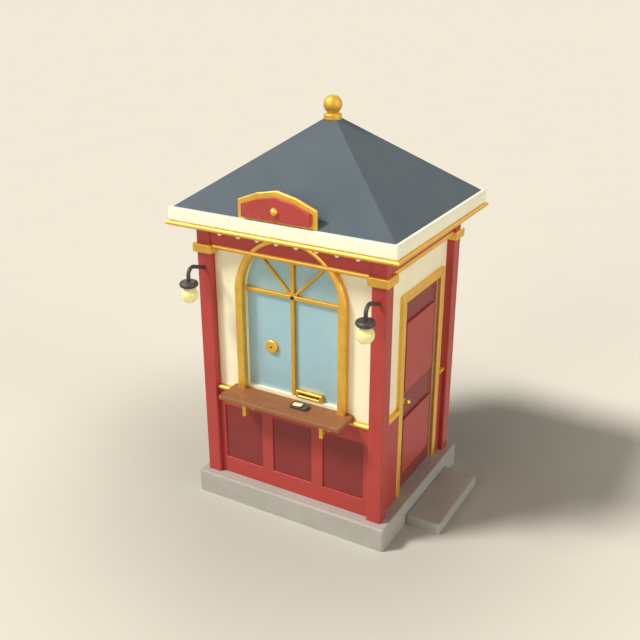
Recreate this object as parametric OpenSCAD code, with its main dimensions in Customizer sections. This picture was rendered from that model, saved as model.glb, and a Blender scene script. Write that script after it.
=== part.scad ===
// Street ticket kiosk: a small timber booth on a concrete plinth, with an arched ticket
// window over a counter, a side door on a step, and a pyramid roof with a ball finial.
// Millimetres, +Z up, the front faces -Y, the origin is under the middle of the plinth.

/* [Plinth and step] */
// How far the plinth stands out beyond the posts at the sides
plinth_side_over = 70; // [40:1:200]
// How far the plinth stands out beyond the posts in front and behind
plinth_front_over = 72.5; // [40:0.5:200]
// Height of the plinth, whose top is the floor
plinth_h = 230; // [160:5:300]
// Chamfer on the edges of the plinth
plinth_chamfer = 24; // [5:1:32]
// Length of the door step along the wall
step_l = 950; // [760:10:1200]
// How far the door step stands out from the plinth
step_reach = 336; // [250:2:420]
// Height of the door step
step_h = 106; // [80:2:140]
// Chamfer on the edges of the door step
step_chamfer = 14; // [4:1:24]

/* [Posts] */
// Width of the booth over its corner posts
body_w = 1860; // [1800:10:1920]
// Depth of the booth over its corner posts
body_d = 1567; // [1520:1:1620]
// Side of a square corner post
post_side = 137; // [125:1:150]
// Chamfer on the corners of a post
post_chamfer = 9; // [3:1:16]
// Height of the wall between the door casing and the capitals
over_door = 234; // [200:1:350]
// Height of a capital
capital_h = 82; // [60:1:90]
// How far a capital stands out round its post
capital_over = 28.5; // [18:0.5:36]
// Chamfer on the edges of a capital
capital_chamfer = 7; // [2:1:12]

/* [Dado] */
// Thickness of the panelled dado
dado_t = 93; // [85:1:105]
// Height of the dado above the floor
dado_h = 896; // [870:2:960]
// Panels along each panelled side
dado_panel_count = 3; // [2:1:4]
// Width of a stile between two dado panels
dado_stile = 117; // [90:1:140]
// Height of the bottom rail under the dado panels
dado_bottom_rail = 170; // [120:2:200]
// Height of a dado panel
dado_panel_h = 572; // [500:2:600]
// Depth of a dado panel behind the face of its frame
dado_recess = 28; // [15:1:35]
// Thickness of a dado panel
dado_panel_t = 12; // [8:1:18]
// Height of the chair rail on the dado
chair_rail_h = 42; // [30:1:44]
// How far the chair rail stands out from the upper wall
chair_rail_d = 50; // [36:1:60]

/* [Upper walls and frieze] */
// Thickness of the upper walls
wall_t = 62; // [55:1:75]
// Height of the red frieze over the capitals
frieze_h = 184; // [175:1:230]
// Thickness of a frieze board in front of the wall
frieze_t = 57; // [34:1:58]
// Height of the architrave rail at the foot of the frieze
architrave_h = 42; // [24:1:50]
// How far the architrave rail laps in front of the window frame
architrave_lap = 8; // [6:1:20]

/* [Ticket window] */
// Width of the window opening
window_w = 960; // [900:2:980]
// Height of the window sill above the dado
sill_h = 114; // [60:1:130]
// Gap between the top of the arched window frame and the soffit
arch_head_gap = 3; // [2:1:40]
// Width of the arched window frame
frame_w = 74; // [55:1:78]
// How far the window frame stands out from the wall
frame_d = 61; // [46:1:66]
// Chamfer on the front edges of the window frame
frame_chamfer = 24; // [6:1:26]
// Depth of the glass behind the wall face
glass_reveal = 36; // [25:1:40]
// Thickness of the glass
glass_t = 10; // [6:1:14]
// Place of the speaking disc to the left of the middle
disc_offset = 230; // [150:1:260]
// Height of the speaking disc above the sill
disc_rise = 422; // [380:2:520]
// Radius of the speaking disc
disc_r = 64; // [45:1:70]
// Thickness of the speaking disc
disc_t = 28; // [10:1:34]
// Radius of the speaking hole
speak_r = 8; // [5:0.5:12]
// Place of the ticket slot to the right of the middle
slot_offset = 165; // [160:1:250]
// Width of the ticket slot's frame
slot_frame_w = 270; // [240:2:280]
// Height of the ticket slot's frame
slot_frame_h = 70; // [60:1:80]
// How far the slot's frame stands out from the glass
slot_frame_d = 45; // [16:1:50]
// Width of the ticket slot
slot_w = 206; // [180:2:216]
// Height of the ticket slot
slot_h = 22; // [16:1:28]

/* [Counter] */
// How far the counter runs past the window frame on each side
counter_ear = 66; // [40:1:110]
// How far the counter stands out from the upper wall
counter_d = 284; // [240:2:320]
// Thickness of the counter board
counter_t = 44; // [38:1:50]
// Chamfer on the edges of the counter board
counter_chamfer = 10; // [3:1:14]
// Distance between the middles of the two counter brackets
bracket_gap = 800; // [600:10:1000]
// Thickness of a counter bracket
bracket_t = 36; // [26:1:50]
// Height of a counter bracket
bracket_h = 149; // [120:1:180]
// How far a counter bracket stands out from the dado
bracket_d = 170; // [140:1:190]
// Radius of the cove under a counter bracket
bracket_cove_r = 52; // [30:1:55]
// Length of the coin tray
tray_l = 165; // [130:1:200]
// Width of the coin tray
tray_w = 92; // [80:1:110]
// Height of the coin tray
tray_h = 26; // [18:1:34]
// Corner radius of the coin tray
tray_r = 18; // [8:1:24]
// Depth of the dish in the coin tray
tray_dish = 8; // [4:1:12]
// Place of the coin tray to the right of the middle
tray_offset = 142; // [60:1:250]
// Distance of the coin tray's middle from the upper wall
tray_reach = 116; // [100:1:160]

/* [Eaves and roof] */
// How far the fascia stands out beyond the posts at the sides
eaves_side_over = 161; // [120:1:220]
// How far the fascia stands out beyond the posts in front and behind
eaves_front_over = 169.5; // [120:0.5:220]
// Height of the fascia
fascia_h = 118; // [80:1:140]
// Thickness of a fascia board
fascia_t = 34; // [30:1:50]
// Chamfer on the edges of the fascia
fascia_chamfer = 6; // [2:1:10]
// Height of the cornice bead under the fascia
bead_h = 41; // [30:1:50]
// How far the cornice bead stands out from the fascia
bead_over = 20; // [12:1:30]
// Rise of the roof from the fascia to its apex
roof_rise = 741; // [600:5:900]
// Thickness of the roof, measured upright
roof_t = 60; // [40:2:90]

/* [Finial and sign] */
// Radius of the finial's ball
ball_r = 81; // [60:1:95]
// Height of the ball's middle above the roof's apex
ball_rise = 75; // [70:1:100]
// Radius of the finial's collar
collar_r = 71; // [60:1:85]
// Height of the finial's collar
collar_h = 38; // [36:1:60]
// How far the collar's top lies below the roof's apex
collar_drop = 20; // [2:1:30]
// Radius of the neck between the collar and the ball
finial_neck_r = 46; // [30:1:60]
// Width of the sign board
sign_w = 752; // [600:4:900]
// Height of the sign board at its shoulders
sign_shoulder_h = 159; // [120:1:200]
// Height of the sign board at its middle
sign_h = 273; // [220:1:320]
// Thickness of the sign board
sign_t = 27; // [18:1:32]
// Width of the gold border round the sign panel
sign_border = 50; // [30:1:70]
// How far the sign panel stands out from its board
sign_panel_t = 30; // [12:1:40]
// Radius of the boss on the sign panel
sign_boss_r = 33; // [20:1:45]

/* [Lamps and bulbs] */
// How far the lamp arms leave the posts below the capitals
lamp_drop = 141; // [80:1:300]
// Reach of a lamp from its post
lamp_reach = 226; // [190:2:300]
// Slope of a lamp's arm where it leaves the post, in degrees
lamp_slope = 20; // [5:1:30]
// Radius of a lamp's arm
arm_r = 17.5; // [12:0.5:22]
// Radius of the bend in a lamp's arm
bend_r = 62; // [45:1:80]
// Height of the lamp arm's foot above the middle of the lamp's cap
arm_over_cap = 82; // [70:1:110]
// Radius of a lamp's cap
cap_r = 83; // [70:1:100]
// Height of a lamp's cap
cap_h = 54; // [30:1:64]
// Radius of a lamp's bulb
lamp_bulb_r = 76; // [55:1:80]
// Radius of the neck of a lamp's bulb
lamp_neck_r = 40; // [25:1:50]
// Distance from the cap down to the middle of the lamp's bulb
lamp_bulb_drop = 74; // [60:1:95]
// Number of bulbs along the front frieze
bulb_count = 8; // [4:2:8]
// Distance of the outermost bulbs from the ends of the front frieze
bulb_end = 121; // [60:1:200]
// Radius of a frieze bulb
bulb_r = 22; // [16:1:26]
// How far a frieze bulb's middle stands out from the frieze
bulb_reach = 18; // [12:1:40]
// Radius of a frieze bulb's socket
socket_r = 13; // [8:0.5:14]
// Height of the frieze bulbs above the foot of the frieze
bulb_rise = 121; // [90:1:150]

/* [Door] */
// Length of the dado between the front post and the door casing
door_front_dado = 294.5; // [200:0.5:340]
// Length of the dado between the door casing and the back post
door_back_dado = 90.5; // [40:0.5:200]
// Height of the doorway above the floor
door_h = 1930; // [1850:5:1980]
// Width of the gold casing round the doorway
casing_w = 77; // [60:1:80]
// How far the casing stands out from the wall
casing_d = 35; // [28:1:45]
// Chamfer on the front edges of the casing
casing_chamfer = 11; // [4:1:14]
// How far the leaf's back lies behind the inner face of the wall
leaf_inset = 2; // [1:0.5:10]
// Thickness of the door leaf
leaf_t = 50; // [34:1:51]
// Gap between the leaf and the jamb on its hinge side
hinge_side_gap = 6; // [5.5:0.5:9]
// Gap between the leaf and the jamb on its free side
free_side_gap = 8; // [7.5:0.5:12]
// Gap under the leaf
leaf_foot_gap = 8; // [6:1:14]
// Gap over the leaf
leaf_head_gap = 6; // [5.5:0.5:12]
// Width of the door's flat margin beside its raised panels
door_margin = 68; // [50:1:110]
// Height of the lower raised panel above the leaf's foot
low_panel_foot = 162; // [120:2:220]
// Height of the lower raised panel
low_panel_h = 580; // [450:5:620]
// Height of the upper raised panel above the leaf's foot
high_panel_foot = 1024; // [950:2:1080]
// Height of the door's top rail over the upper raised panel
door_top_rail = 217; // [120:1:300]
// How far a raised panel stands out from the leaf
door_panel_t = 20; // [6:1:24]
// Chamfer round a raised panel
door_panel_chamfer = 6; // [2:1:8]
// Distance of the knob from the leaf's free edge
knob_inset = 100; // [60:1:130]
// How far the knob sits below the upper raised panel
knob_drop = 102; // [60:1:200]
// Radius of the knob
knob_r = 25; // [18:1:30]
// Reach of the knob's middle from the leaf
knob_reach = 38; // [36:1:55]
// Radius of a hinge barrel
hinge_r = 9; // [7:0.5:12]
// Radius of a hinge pin
pin_r = 5; // [3:0.5:6]
// Length of one knuckle of a hinge
knuckle_l = 34; // [24:1:45]

/* [Hidden] */
$fn = 64;

// Overrun of every cut past the solid that it cuts
overrun = 20;
// Gap between pieces that are scribed or let in
fit = 0.3;
// Gap between the ends of like bars
mitre_gap = 0.4;
// Radial clearance of a hinge pin in its knuckle
pin_clearance = 0.08;
// Gap between the two knuckles of a hinge
knuckle_gap = 1;

// Half turns that set each side of the booth outwards
front_turn = 0;
right_turn = 90;
back_turn = 180;
left_turn = -90;

// Colours as seen
concrete_grey = [0.70, 0.68, 0.62];
post_red = [0.75, 0.20, 0.18];
deep_red = [0.50, 0.15, 0.14];
wall_cream = [0.97, 0.91, 0.76];
trim_gold = [0.86, 0.64, 0.20];
roof_slate = [0.36, 0.40, 0.44];
glass_blue = [0.62, 0.78, 0.80, 0.6];
counter_brown = [0.60, 0.39, 0.26];
iron_black = [0.18, 0.17, 0.17];
bulb_yellow = [1.00, 0.96, 0.70];

// Plinth and eaves round the body
plinth_w = body_w + 2 * plinth_side_over;
plinth_d = body_d + 2 * plinth_front_over;
fascia_w = body_w + 2 * eaves_side_over;
fascia_d = body_d + 2 * eaves_front_over;

// Inner faces of the walls and posts, and the middles of the posts
inner_x = body_w / 2 - post_side;
inner_y = body_d / 2 - post_side;
post_x = body_w / 2 - post_side / 2;
post_y = body_d / 2 - post_side / 2;

// Levels from the ground up
floor_z = plinth_h;
dado_top = floor_z + dado_h;
counter_z = dado_top + chair_rail_h;
counter_top = counter_z + counter_t;
sill_z = dado_top + sill_h;
post_h = door_h + casing_w + over_door;
capital_z = floor_z + post_h;
frieze_z = capital_z + capital_h;
soffit_z = frieze_z + frieze_h;
fascia_z = soffit_z + bead_h;
roof_z = fascia_z + fascia_h;
apex_z = roof_z + roof_rise;

// Window arch and the frame round it
arch_r = window_w / 2;
spring_z = soffit_z - arch_head_gap - frame_w - arch_r;
counter_l = window_w + 2 * frame_w + 2 * counter_ear;
glass_face = wall_t - glass_reveal;
frame_face = wall_t + frame_d;
frieze_face = wall_t + frieze_t;
architrave_d = frame_d + architrave_lap;

// Roof inside the fascia
roof_x = fascia_w / 2 - fascia_t;
roof_y = fascia_d / 2 - fascia_t;
roof_core_share = (roof_rise - roof_t) / roof_rise;

// Sign board over the front fascia
sign_proud_share = 0.22;
sign_face = roof_y + sign_t * sign_proud_share;
sign_knee_share = 0.5;
sign_knee_rise_share = 0.66;
sign_boss_share = 0.40;
sign_panel_foot_share = 0.45;

// Lamps under the front capitals, and bulbs along the front frieze
lamp_z = capital_z - lamp_drop;
bulb_pitch = 2 * (inner_x - bulb_end) / (bulb_count - 1);

// Doorway along the door wall, and the leaf in it
door_w = 2 * inner_y - door_front_dado - door_back_dado - 2 * casing_w;
door_offset = inner_y - door_back_dado - casing_w - door_w / 2;
jamb_free = door_offset - door_w / 2;
jamb_hinge = door_offset + door_w / 2;
door_top = floor_z + door_h;
leaf_back = leaf_inset;
leaf_face = leaf_back + leaf_t;
leaf_free = jamb_free + free_side_gap;
leaf_hinge = jamb_hinge - hinge_side_gap;
leaf_w = leaf_hinge - leaf_free;
leaf_foot = floor_z + leaf_foot_gap;
leaf_h = door_h - leaf_foot_gap - leaf_head_gap;
high_panel_h = leaf_h - high_panel_foot - door_top_rail;
knob_rise = high_panel_foot - knob_drop;

// Hinge axis inside the booth, beside the inner face of the leaf
hinge_axis_x = jamb_hinge - hinge_side_gap / 2;
hinge_axis_reach = -hinge_r;
hinge_plate_t = hinge_r / 2;
hinge_plate_w = hinge_r * 4;
hinge_level_shares = [0.12, 0.50, 0.88];

// Elbow of a lamp's arm, which swells a little and laps over the pipes on both sides
elbow_share = 1.08;
elbow_lap = arm_r / 4;

// Knob and its rose
rose_r_share = 1.05;
rose_t = knob_r / 4;
knob_neck_share = 0.45;

// Places a child drawn for the front, with its inner face on the X axis, on one side of the booth
module on_side(turn, reach) {
    rotate([0, 0, turn])
        translate([0, -reach, 0])
            children();
}

// A box between two corners
module box(low, high) {
    translate(low)
        cube(high - low);
}

// A rectangle with chamfered corners
module chamfered_rect(w, h, c) {
    polygon([
        [-w / 2 + c, -h / 2], [w / 2 - c, -h / 2], [w / 2, -h / 2 + c], [w / 2, h / 2 - c],
        [w / 2 - c, h / 2], [-w / 2 + c, h / 2], [-w / 2, h / 2 - c], [-w / 2, -h / 2 + c]
    ]);
}

// A rectangle that stands on the X axis with its two upper corners chamfered
module crowned_rect(w, h, c) {
    polygon([[-w / 2, 0], [w / 2, 0], [w / 2, h - c], [w / 2 - c, h], [-w / 2 + c, h], [-w / 2, h - c]]);
}

// Extrudes a section drawn in Y and Z along X
module along_x(length) {
    rotate([90, 0, 90])
        linear_extrude(height = length, center = true)
            children();
}

// Extrudes a section drawn in X and Z along Y
module along_y(length) {
    rotate([90, 0, 0])
        linear_extrude(height = length, center = true)
            children();
}

// Extrudes an outline drawn in X and Z outwards, towards -Y, from one reach to another
module outwards(from, to) {
    rotate([90, 0, 0])
        translate([0, 0, from])
            linear_extrude(height = to - from)
                children();
}

// A block that stands on the ground plane with chamfers on its top and upright edges
module crowned_block(w, d, h, c) {
    intersection() {
        linear_extrude(height = h)
            chamfered_rect(w, d, c);
        along_y(d)
            crowned_rect(w, h, c);
        along_x(w)
            crowned_rect(d, h, c);
    }
}

// A block centred on the origin with chamfers on all its edges
module chamfer_block(w, d, h, c) {
    intersection() {
        linear_extrude(height = h, center = true)
            chamfered_rect(w, d, c);
        along_y(d)
            chamfered_rect(w, h, c);
        along_x(w)
            chamfered_rect(d, h, c);
    }
}

// Section of a rail with a half-round nose, from the wall face outwards
module nosed_section(wall_face, d, h) {
    nose = h / 2;
    translate([-(wall_face + d - nose), 0])
        square([d - nose, h]);
    translate([-(wall_face + d - nose), nose])
        circle(r = nose);
}

// A straight length of nosed rail between two places along a wall
module nosed_rail(from, to, z, d, h) {
    translate([(from + to) / 2, 0, z])
        along_x(to - from)
            nosed_section(wall_t, d, h);
}

// Plan of one mitred bar of a ring, whose outer edge lies at a reach
module mitred_plan(half, reach, t, gap) {
    polygon([
        [-half + gap, -reach], [half - gap, -reach],
        [half - t - gap, -reach + t], [-half + t + gap, -reach + t]
    ]);
}

// Outline of the arched opening, widened by a margin
module arched_outline(foot, margin) {
    r = arch_r + margin;
    translate([-r, foot])
        square([2 * r, spring_z - foot]);
    translate([0, spring_z])
        intersection() {
            circle(r = r);
            translate([-r, -overrun])
                square([2 * r, r + overrun]);
        }
}

// Section of the window frame, grown all round: distance from the arch's middle, then height over the wall
module frame_section(grow, foot) {
    c = frame_chamfer;
    shoulder = frame_d - c + grow;
    crest = frame_d + grow;
    translate([arch_r, 0])
        polygon([
            [-grow, foot], [frame_w + grow, foot], [frame_w + grow, shoulder],
            [frame_w - c + grow, crest], [c - grow, crest], [-grow, shoulder]
        ]);
}

// Space that the arch of the window frame takes up, with the fit round it
module frame_arch_space() {
    on_side(front_turn, inner_y + wall_t)
        translate([0, 0, spring_z])
            rotate([90, 0, 0])
                rotate_extrude(angle = 180)
                    frame_section(fit, -overrun);
}

// Pyramid over the fascia, as two gables that cross
module roof_form(half_x, half_y, rise) {
    intersection() {
        along_y(2 * half_y)
            polygon([[-half_x, 0], [half_x, 0], [0, rise]]);
        along_x(2 * half_x)
            polygon([[-half_y, 0], [half_y, 0], [0, rise]]);
    }
}

// Outline of the sign, drawn from its foot up and narrowed by a border
module sign_outline(border) {
    half = sign_w / 2 - border;
    shoulder = sign_shoulder_h - border;
    crown = sign_h - border;
    knee = shoulder + (crown - shoulder) * sign_knee_rise_share;
    foot = border * sign_panel_foot_share;
    polygon([
        [-half, foot], [half, foot], [half, shoulder], [half * sign_knee_share, knee],
        [0, crown], [-half * sign_knee_share, knee], [-half, shoulder]
    ]);
}

// Rectangle with round corners
module rounded_rect(w, h, r) {
    square([w - 2 * r, h], center = true);
    square([w, h - 2 * r], center = true);
    for (x = [-1, 1], y = [-1, 1])
        translate([x * (w / 2 - r), y * (h / 2 - r)])
            circle(r = r);
}

// Middle of each dado panel along a wall of a given clear length
function panel_places(length) =
    [for (i = [0 : dado_panel_count - 1]) (i + 0.5 - dado_panel_count / 2) * length / dado_panel_count];

// Width of a dado panel on a wall of a given clear length
function panel_width(length) = length / dado_panel_count - dado_stile;

// Dado of one wall, framed with pockets for its panels
module dado_frame(length) {
    panel_z = floor_z + dado_bottom_rail;
    pocket = dado_recess + dado_panel_t;
    difference() {
        box([-length / 2, -dado_t, floor_z], [length / 2, 0, dado_top]);
        for (x = panel_places(length))
            box(
                [x - panel_width(length) / 2, -dado_t - overrun, panel_z],
                [x + panel_width(length) / 2, -dado_t + pocket, panel_z + dado_panel_h]
            );
    }
}

// Loose panels let into the dado of one wall
module dado_panel_row(length) {
    panel_z = floor_z + dado_bottom_rail;
    half = panel_width(length) / 2 - fit;
    for (x = panel_places(length))
        box(
            [x - half, -dado_t + dado_recess, panel_z],
            [x + half, -dado_t + dado_recess + dado_panel_t, panel_z + dado_panel_h - fit]
        );
}

// Upper wall with no opening
module plain_wall(length) {
    box([-length / 2, -wall_t, dado_top], [length / 2, 0, soffit_z]);
}

// One corner post on the floor
module corner_post(side_x, side_y) {
    color(post_red)
        translate([side_x * post_x, side_y * post_y, floor_z])
            linear_extrude(height = post_h)
                chamfered_rect(post_side, post_side, post_chamfer);
}

// Plan of a capital in the corner at +X and -Y, cut back to the wall faces
module capital_plan() {
    out_x = body_w / 2 + capital_over;
    out_y = body_d / 2 + capital_over;
    lip_x = inner_x - capital_over;
    lip_y = inner_y - capital_over;
    c = capital_chamfer;
    polygon([
        [lip_x, -out_y], [out_x - c, -out_y], [out_x, -out_y + c], [out_x, -lip_y],
        [inner_x + wall_t, -lip_y], [inner_x + wall_t, -inner_y], [inner_x, -inner_y],
        [inner_x, -inner_y - wall_t], [lip_x, -inner_y - wall_t]
    ]);
}

// Repeats a child made for the corner at +X and -Y in all four corners
module four_corners() {
    for (flip_x = [0, 1], flip_y = [0, 1])
        mirror([flip_x, 0, 0])
            mirror([0, flip_y, 0])
                children();
}

// One lamp's children, placed on both front posts with the post face as their origin
module both_lamps() {
    for (side = [-1, 1])
        translate([side * post_x, -body_d / 2, lamp_z])
            rotate([0, 0, -90])
                children();
}

// One hinge's children at each hinge level, with the pin axis as their origin
module each_hinge() {
    for (level_share = hinge_level_shares)
        on_side(right_turn, inner_x)
            translate([hinge_axis_x, -hinge_axis_reach, leaf_foot + leaf_h * level_share])
                children();
}

module plinth() {
    color(concrete_grey)
        crowned_block(plinth_w, plinth_d, plinth_h, plinth_chamfer);
}

module door_step() {
    color(concrete_grey)
        translate([plinth_w / 2 + step_reach / 2, door_offset, 0])
            crowned_block(step_reach, step_l, step_h, step_chamfer);
}

module post_front_left() {
    corner_post(-1, -1);
}

module post_front_right() {
    corner_post(1, -1);
}

module post_back_left() {
    corner_post(-1, 1);
}

module post_back_right() {
    corner_post(1, 1);
}

// A gold block on each post, with lips along the two wall faces beside it
module post_capitals() {
    out_w = body_w + 2 * capital_over;
    out_d = body_d + 2 * capital_over;
    color(trim_gold)
        four_corners()
            translate([0, 0, capital_z])
                intersection() {
                    linear_extrude(height = capital_h)
                        capital_plan();
                    translate([0, 0, capital_h / 2])
                        chamfer_block(out_w, out_d, capital_h, capital_chamfer);
                }
}

// The frieze turns the corner over each capital on a block as wide as the post
module corner_blocks() {
    color(post_red)
        four_corners()
            translate([post_x, -post_y, frieze_z])
                linear_extrude(height = frieze_h)
                    chamfered_rect(post_side, post_side, post_chamfer);
}

module front_dado() {
    color(post_red)
        on_side(front_turn, inner_y)
            dado_frame(2 * inner_x);
}

module left_dado() {
    color(post_red)
        on_side(left_turn, inner_x)
            dado_frame(2 * inner_y);
}

module back_dado() {
    color(post_red)
        on_side(back_turn, inner_y)
            dado_frame(2 * inner_x);
}

// The door wall's dado stops at the casing on both sides of the doorway
module right_dado() {
    color(post_red)
        on_side(right_turn, inner_x) {
            box([-inner_y, -dado_t, floor_z], [jamb_free - casing_w, 0, dado_top]);
            box([jamb_hinge + casing_w, -dado_t, floor_z], [inner_y, 0, dado_top]);
        }
}

module dado_panels() {
    color(deep_red) {
        on_side(front_turn, inner_y)
            dado_panel_row(2 * inner_x);
        on_side(back_turn, inner_y)
            dado_panel_row(2 * inner_x);
        on_side(left_turn, inner_x)
            dado_panel_row(2 * inner_y);
    }
}

// The chair rail caps the dado and stops at the counter and at the door casing
module chair_rail() {
    color(trim_gold) {
        on_side(front_turn, inner_y)
            nosed_rail(-inner_x, inner_x, dado_top, chair_rail_d, chair_rail_h);
        on_side(back_turn, inner_y)
            nosed_rail(-inner_x, inner_x, dado_top, chair_rail_d, chair_rail_h);
        on_side(left_turn, inner_x)
            nosed_rail(-inner_y, inner_y, dado_top, chair_rail_d, chair_rail_h);
        on_side(right_turn, inner_x) {
            nosed_rail(-inner_y, jamb_free - casing_w, dado_top, chair_rail_d, chair_rail_h);
            nosed_rail(jamb_hinge + casing_w, inner_y, dado_top, chair_rail_d, chair_rail_h);
        }
    }
}

module front_wall() {
    color(wall_cream)
        on_side(front_turn, inner_y)
            difference() {
                plain_wall(2 * inner_x);
                outwards(-overrun, wall_t + overrun)
                    arched_outline(sill_z, 0);
            }
}

module left_wall() {
    color(wall_cream)
        on_side(left_turn, inner_x)
            plain_wall(2 * inner_y);
}

module back_wall() {
    color(wall_cream)
        on_side(back_turn, inner_y)
            plain_wall(2 * inner_x);
}

// Beside the doorway the upper wall runs down to the floor behind the casing
module right_wall_sides() {
    free_edge = jamb_free - casing_w;
    hinge_edge = jamb_hinge + casing_w;
    color(wall_cream)
        on_side(right_turn, inner_x) {
            box([-inner_y, -wall_t, dado_top], [jamb_free, 0, soffit_z]);
            box([free_edge, -wall_t, floor_z], [jamb_free, 0, dado_top]);
            box([jamb_hinge, -wall_t, dado_top], [inner_y, 0, soffit_z]);
            box([jamb_hinge, -wall_t, floor_z], [hinge_edge, 0, dado_top]);
        }
}

module right_wall_head() {
    color(wall_cream)
        on_side(right_turn, inner_x)
            box([jamb_free, -wall_t, door_top], [jamb_hinge, 0, soffit_z]);
}

// One board of the frieze, in front of the wall and between the corner blocks
module frieze_board(length) {
    box([-length / 2, -frieze_face, frieze_z], [length / 2, -wall_t, soffit_z]);
}

// The front board is coped round the arch of the window frame, with its lunette inside the arch
module frieze_boards() {
    color(post_red) {
        difference() {
            on_side(front_turn, inner_y)
                frieze_board(2 * inner_x);
            frame_arch_space();
        }
        on_side(back_turn, inner_y)
            frieze_board(2 * inner_x);
        on_side(left_turn, inner_x)
            frieze_board(2 * inner_y);
        on_side(right_turn, inner_x)
            frieze_board(2 * inner_y);
    }
}

// The rail under the frieze runs from capital to capital, halved over the window frame in front
module architrave_rail() {
    z = frieze_z - architrave_h;
    half_x = inner_x - capital_over;
    half_y = inner_y - capital_over;
    color(trim_gold) {
        difference() {
            on_side(front_turn, inner_y)
                nosed_rail(-half_x, half_x, z, architrave_d, architrave_h);
            frame_arch_space();
        }
        on_side(back_turn, inner_y)
            nosed_rail(-half_x, half_x, z, architrave_d, architrave_h);
        on_side(left_turn, inner_x)
            nosed_rail(-half_y, half_y, z, architrave_d, architrave_h);
        on_side(right_turn, inner_x)
            nosed_rail(-half_y, half_y, z, architrave_d, architrave_h);
    }
}

// Ceiling and eaves board, which the posts and walls carry
module eaves_soffit() {
    color(wall_cream)
        box([-roof_x, -roof_y, soffit_z], [roof_x, roof_y, fascia_z]);
}

// One bar of the cornice bead, mitred at both ends
module bead_bar(half, reach, gap) {
    t = fascia_t + bead_over;
    nose = bead_h / 2;
    intersection() {
        linear_extrude(height = bead_h)
            mitred_plan(half, reach, t, gap);
        along_x(2 * half) {
            translate([-reach + nose, 0])
                square([t - nose, bead_h]);
            translate([-reach + nose, nose])
                circle(r = nose);
        }
    }
}

module cornice_bead() {
    half_x = fascia_w / 2 + bead_over;
    half_y = fascia_d / 2 + bead_over;
    color(trim_gold)
        translate([0, 0, soffit_z]) {
            for (turn = [front_turn, back_turn])
                on_side(turn, 0)
                    bead_bar(half_x, half_y, mitre_gap);
            for (turn = [left_turn, right_turn])
                on_side(turn, 0)
                    bead_bar(half_y, half_x, 0);
        }
}

// One fascia board, mitred at both ends and with its outer edges eased
module fascia_bar(half, reach, gap) {
    intersection() {
        linear_extrude(height = fascia_h)
            mitred_plan(half, reach, fascia_t, gap);
        translate([0, -reach + fascia_t, fascia_h / 2])
            along_x(2 * half)
                chamfered_rect(2 * fascia_t, fascia_h, fascia_chamfer);
    }
}

module fascia() {
    half_x = fascia_w / 2;
    half_y = fascia_d / 2;
    color(wall_cream)
        translate([0, 0, fascia_z]) {
            for (turn = [front_turn, back_turn])
                on_side(turn, 0)
                    fascia_bar(half_x, half_y, mitre_gap);
            for (turn = [left_turn, right_turn])
                on_side(turn, 0)
                    fascia_bar(half_y, half_x, 0);
        }
}

// A hollow pyramid on a curb that stands inside the fascia
module roof() {
    out_x = roof_x - fit;
    out_y = roof_y - fit;
    core_x = out_x * roof_core_share;
    core_y = out_y * roof_core_share;
    color(roof_slate)
        difference() {
            union() {
                box([-out_x, -out_y, fascia_z], [out_x, out_y, roof_z]);
                translate([0, 0, roof_z])
                    roof_form(out_x, out_y, roof_rise);
            }
            box([-core_x, -core_y, fascia_z - overrun], [core_x, core_y, roof_z]);
            translate([0, 0, roof_z])
                roof_form(core_x, core_y, roof_rise * roof_core_share);
        }
}

// The roof's outer planes, raised by the fit, that the finial and the sign are scribed to
module roof_cut() {
    translate([0, 0, roof_z + fit])
        roof_form(roof_x, roof_y, roof_rise);
    box([-roof_x, -roof_y, fascia_z], [roof_x, roof_y, roof_z + fit]);
}

// A ball on a rounded collar that caps the roof's apex
module finial() {
    collar_top = apex_z - collar_drop;
    nose = collar_h / 2;
    ball_z = apex_z + ball_rise;
    color(trim_gold)
        difference() {
            union() {
                translate([0, 0, ball_z])
                    sphere(r = ball_r);
                translate([0, 0, collar_top - collar_h])
                    cylinder(r = collar_r - nose, h = collar_h);
                translate([0, 0, collar_top - nose])
                    rotate_extrude()
                        translate([collar_r - nose, 0])
                            circle(r = nose);
                translate([0, 0, collar_top - nose])
                    cylinder(r = finial_neck_r, h = ball_z - collar_top + nose);
            }
            roof_cut();
        }
}

// Gold board on the rim of the fascia, scribed to the roof behind it
module sign_board() {
    color(trim_gold)
        difference() {
            translate([0, 0, roof_z])
                outwards(sign_face - sign_t, sign_face)
                    sign_outline(0);
            roof_cut();
        }
}

module sign_panel() {
    color(post_red)
        translate([0, 0, roof_z])
            outwards(sign_face, sign_face + sign_panel_t)
                sign_outline(sign_border);
}

module sign_boss() {
    boss_z = roof_z + sign_h * sign_boss_share;
    color(trim_gold)
        translate([0, -sign_face - sign_panel_t, boss_z])
            rotate([90, 0, 0])
                intersection() {
                    sphere(r = sign_boss_r);
                    cylinder(r = sign_boss_r, h = sign_boss_r);
                }
}

// Arched frame on the wall round the window, standing on the counter
module window_frame() {
    color(trim_gold)
        on_side(front_turn, inner_y + wall_t)
            translate([0, 0, spring_z])
                rotate([90, 0, 0]) {
                    rotate_extrude(angle = 180)
                        frame_section(0, 0);
                    for (side = [0, 1])
                        mirror([side, 0, 0])
                            rotate([90, 0, 0])
                                linear_extrude(height = spring_z - counter_top)
                                    frame_section(0, 0);
                }
}

// Centre line of the ticket slot above the sill
function slot_z() = sill_z + slot_frame_h / 2;

module window_glass() {
    disc_z = sill_z + disc_rise;
    color(glass_blue)
        on_side(front_turn, inner_y)
            difference() {
                outwards(glass_face - glass_t, glass_face)
                    arched_outline(sill_z, -fit);
                outwards(0, wall_t)
                    translate([-disc_offset, disc_z])
                        circle(r = speak_r);
                outwards(0, wall_t)
                    translate([slot_offset, slot_z()])
                        square([slot_w, slot_h], center = true);
            }
}

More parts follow.
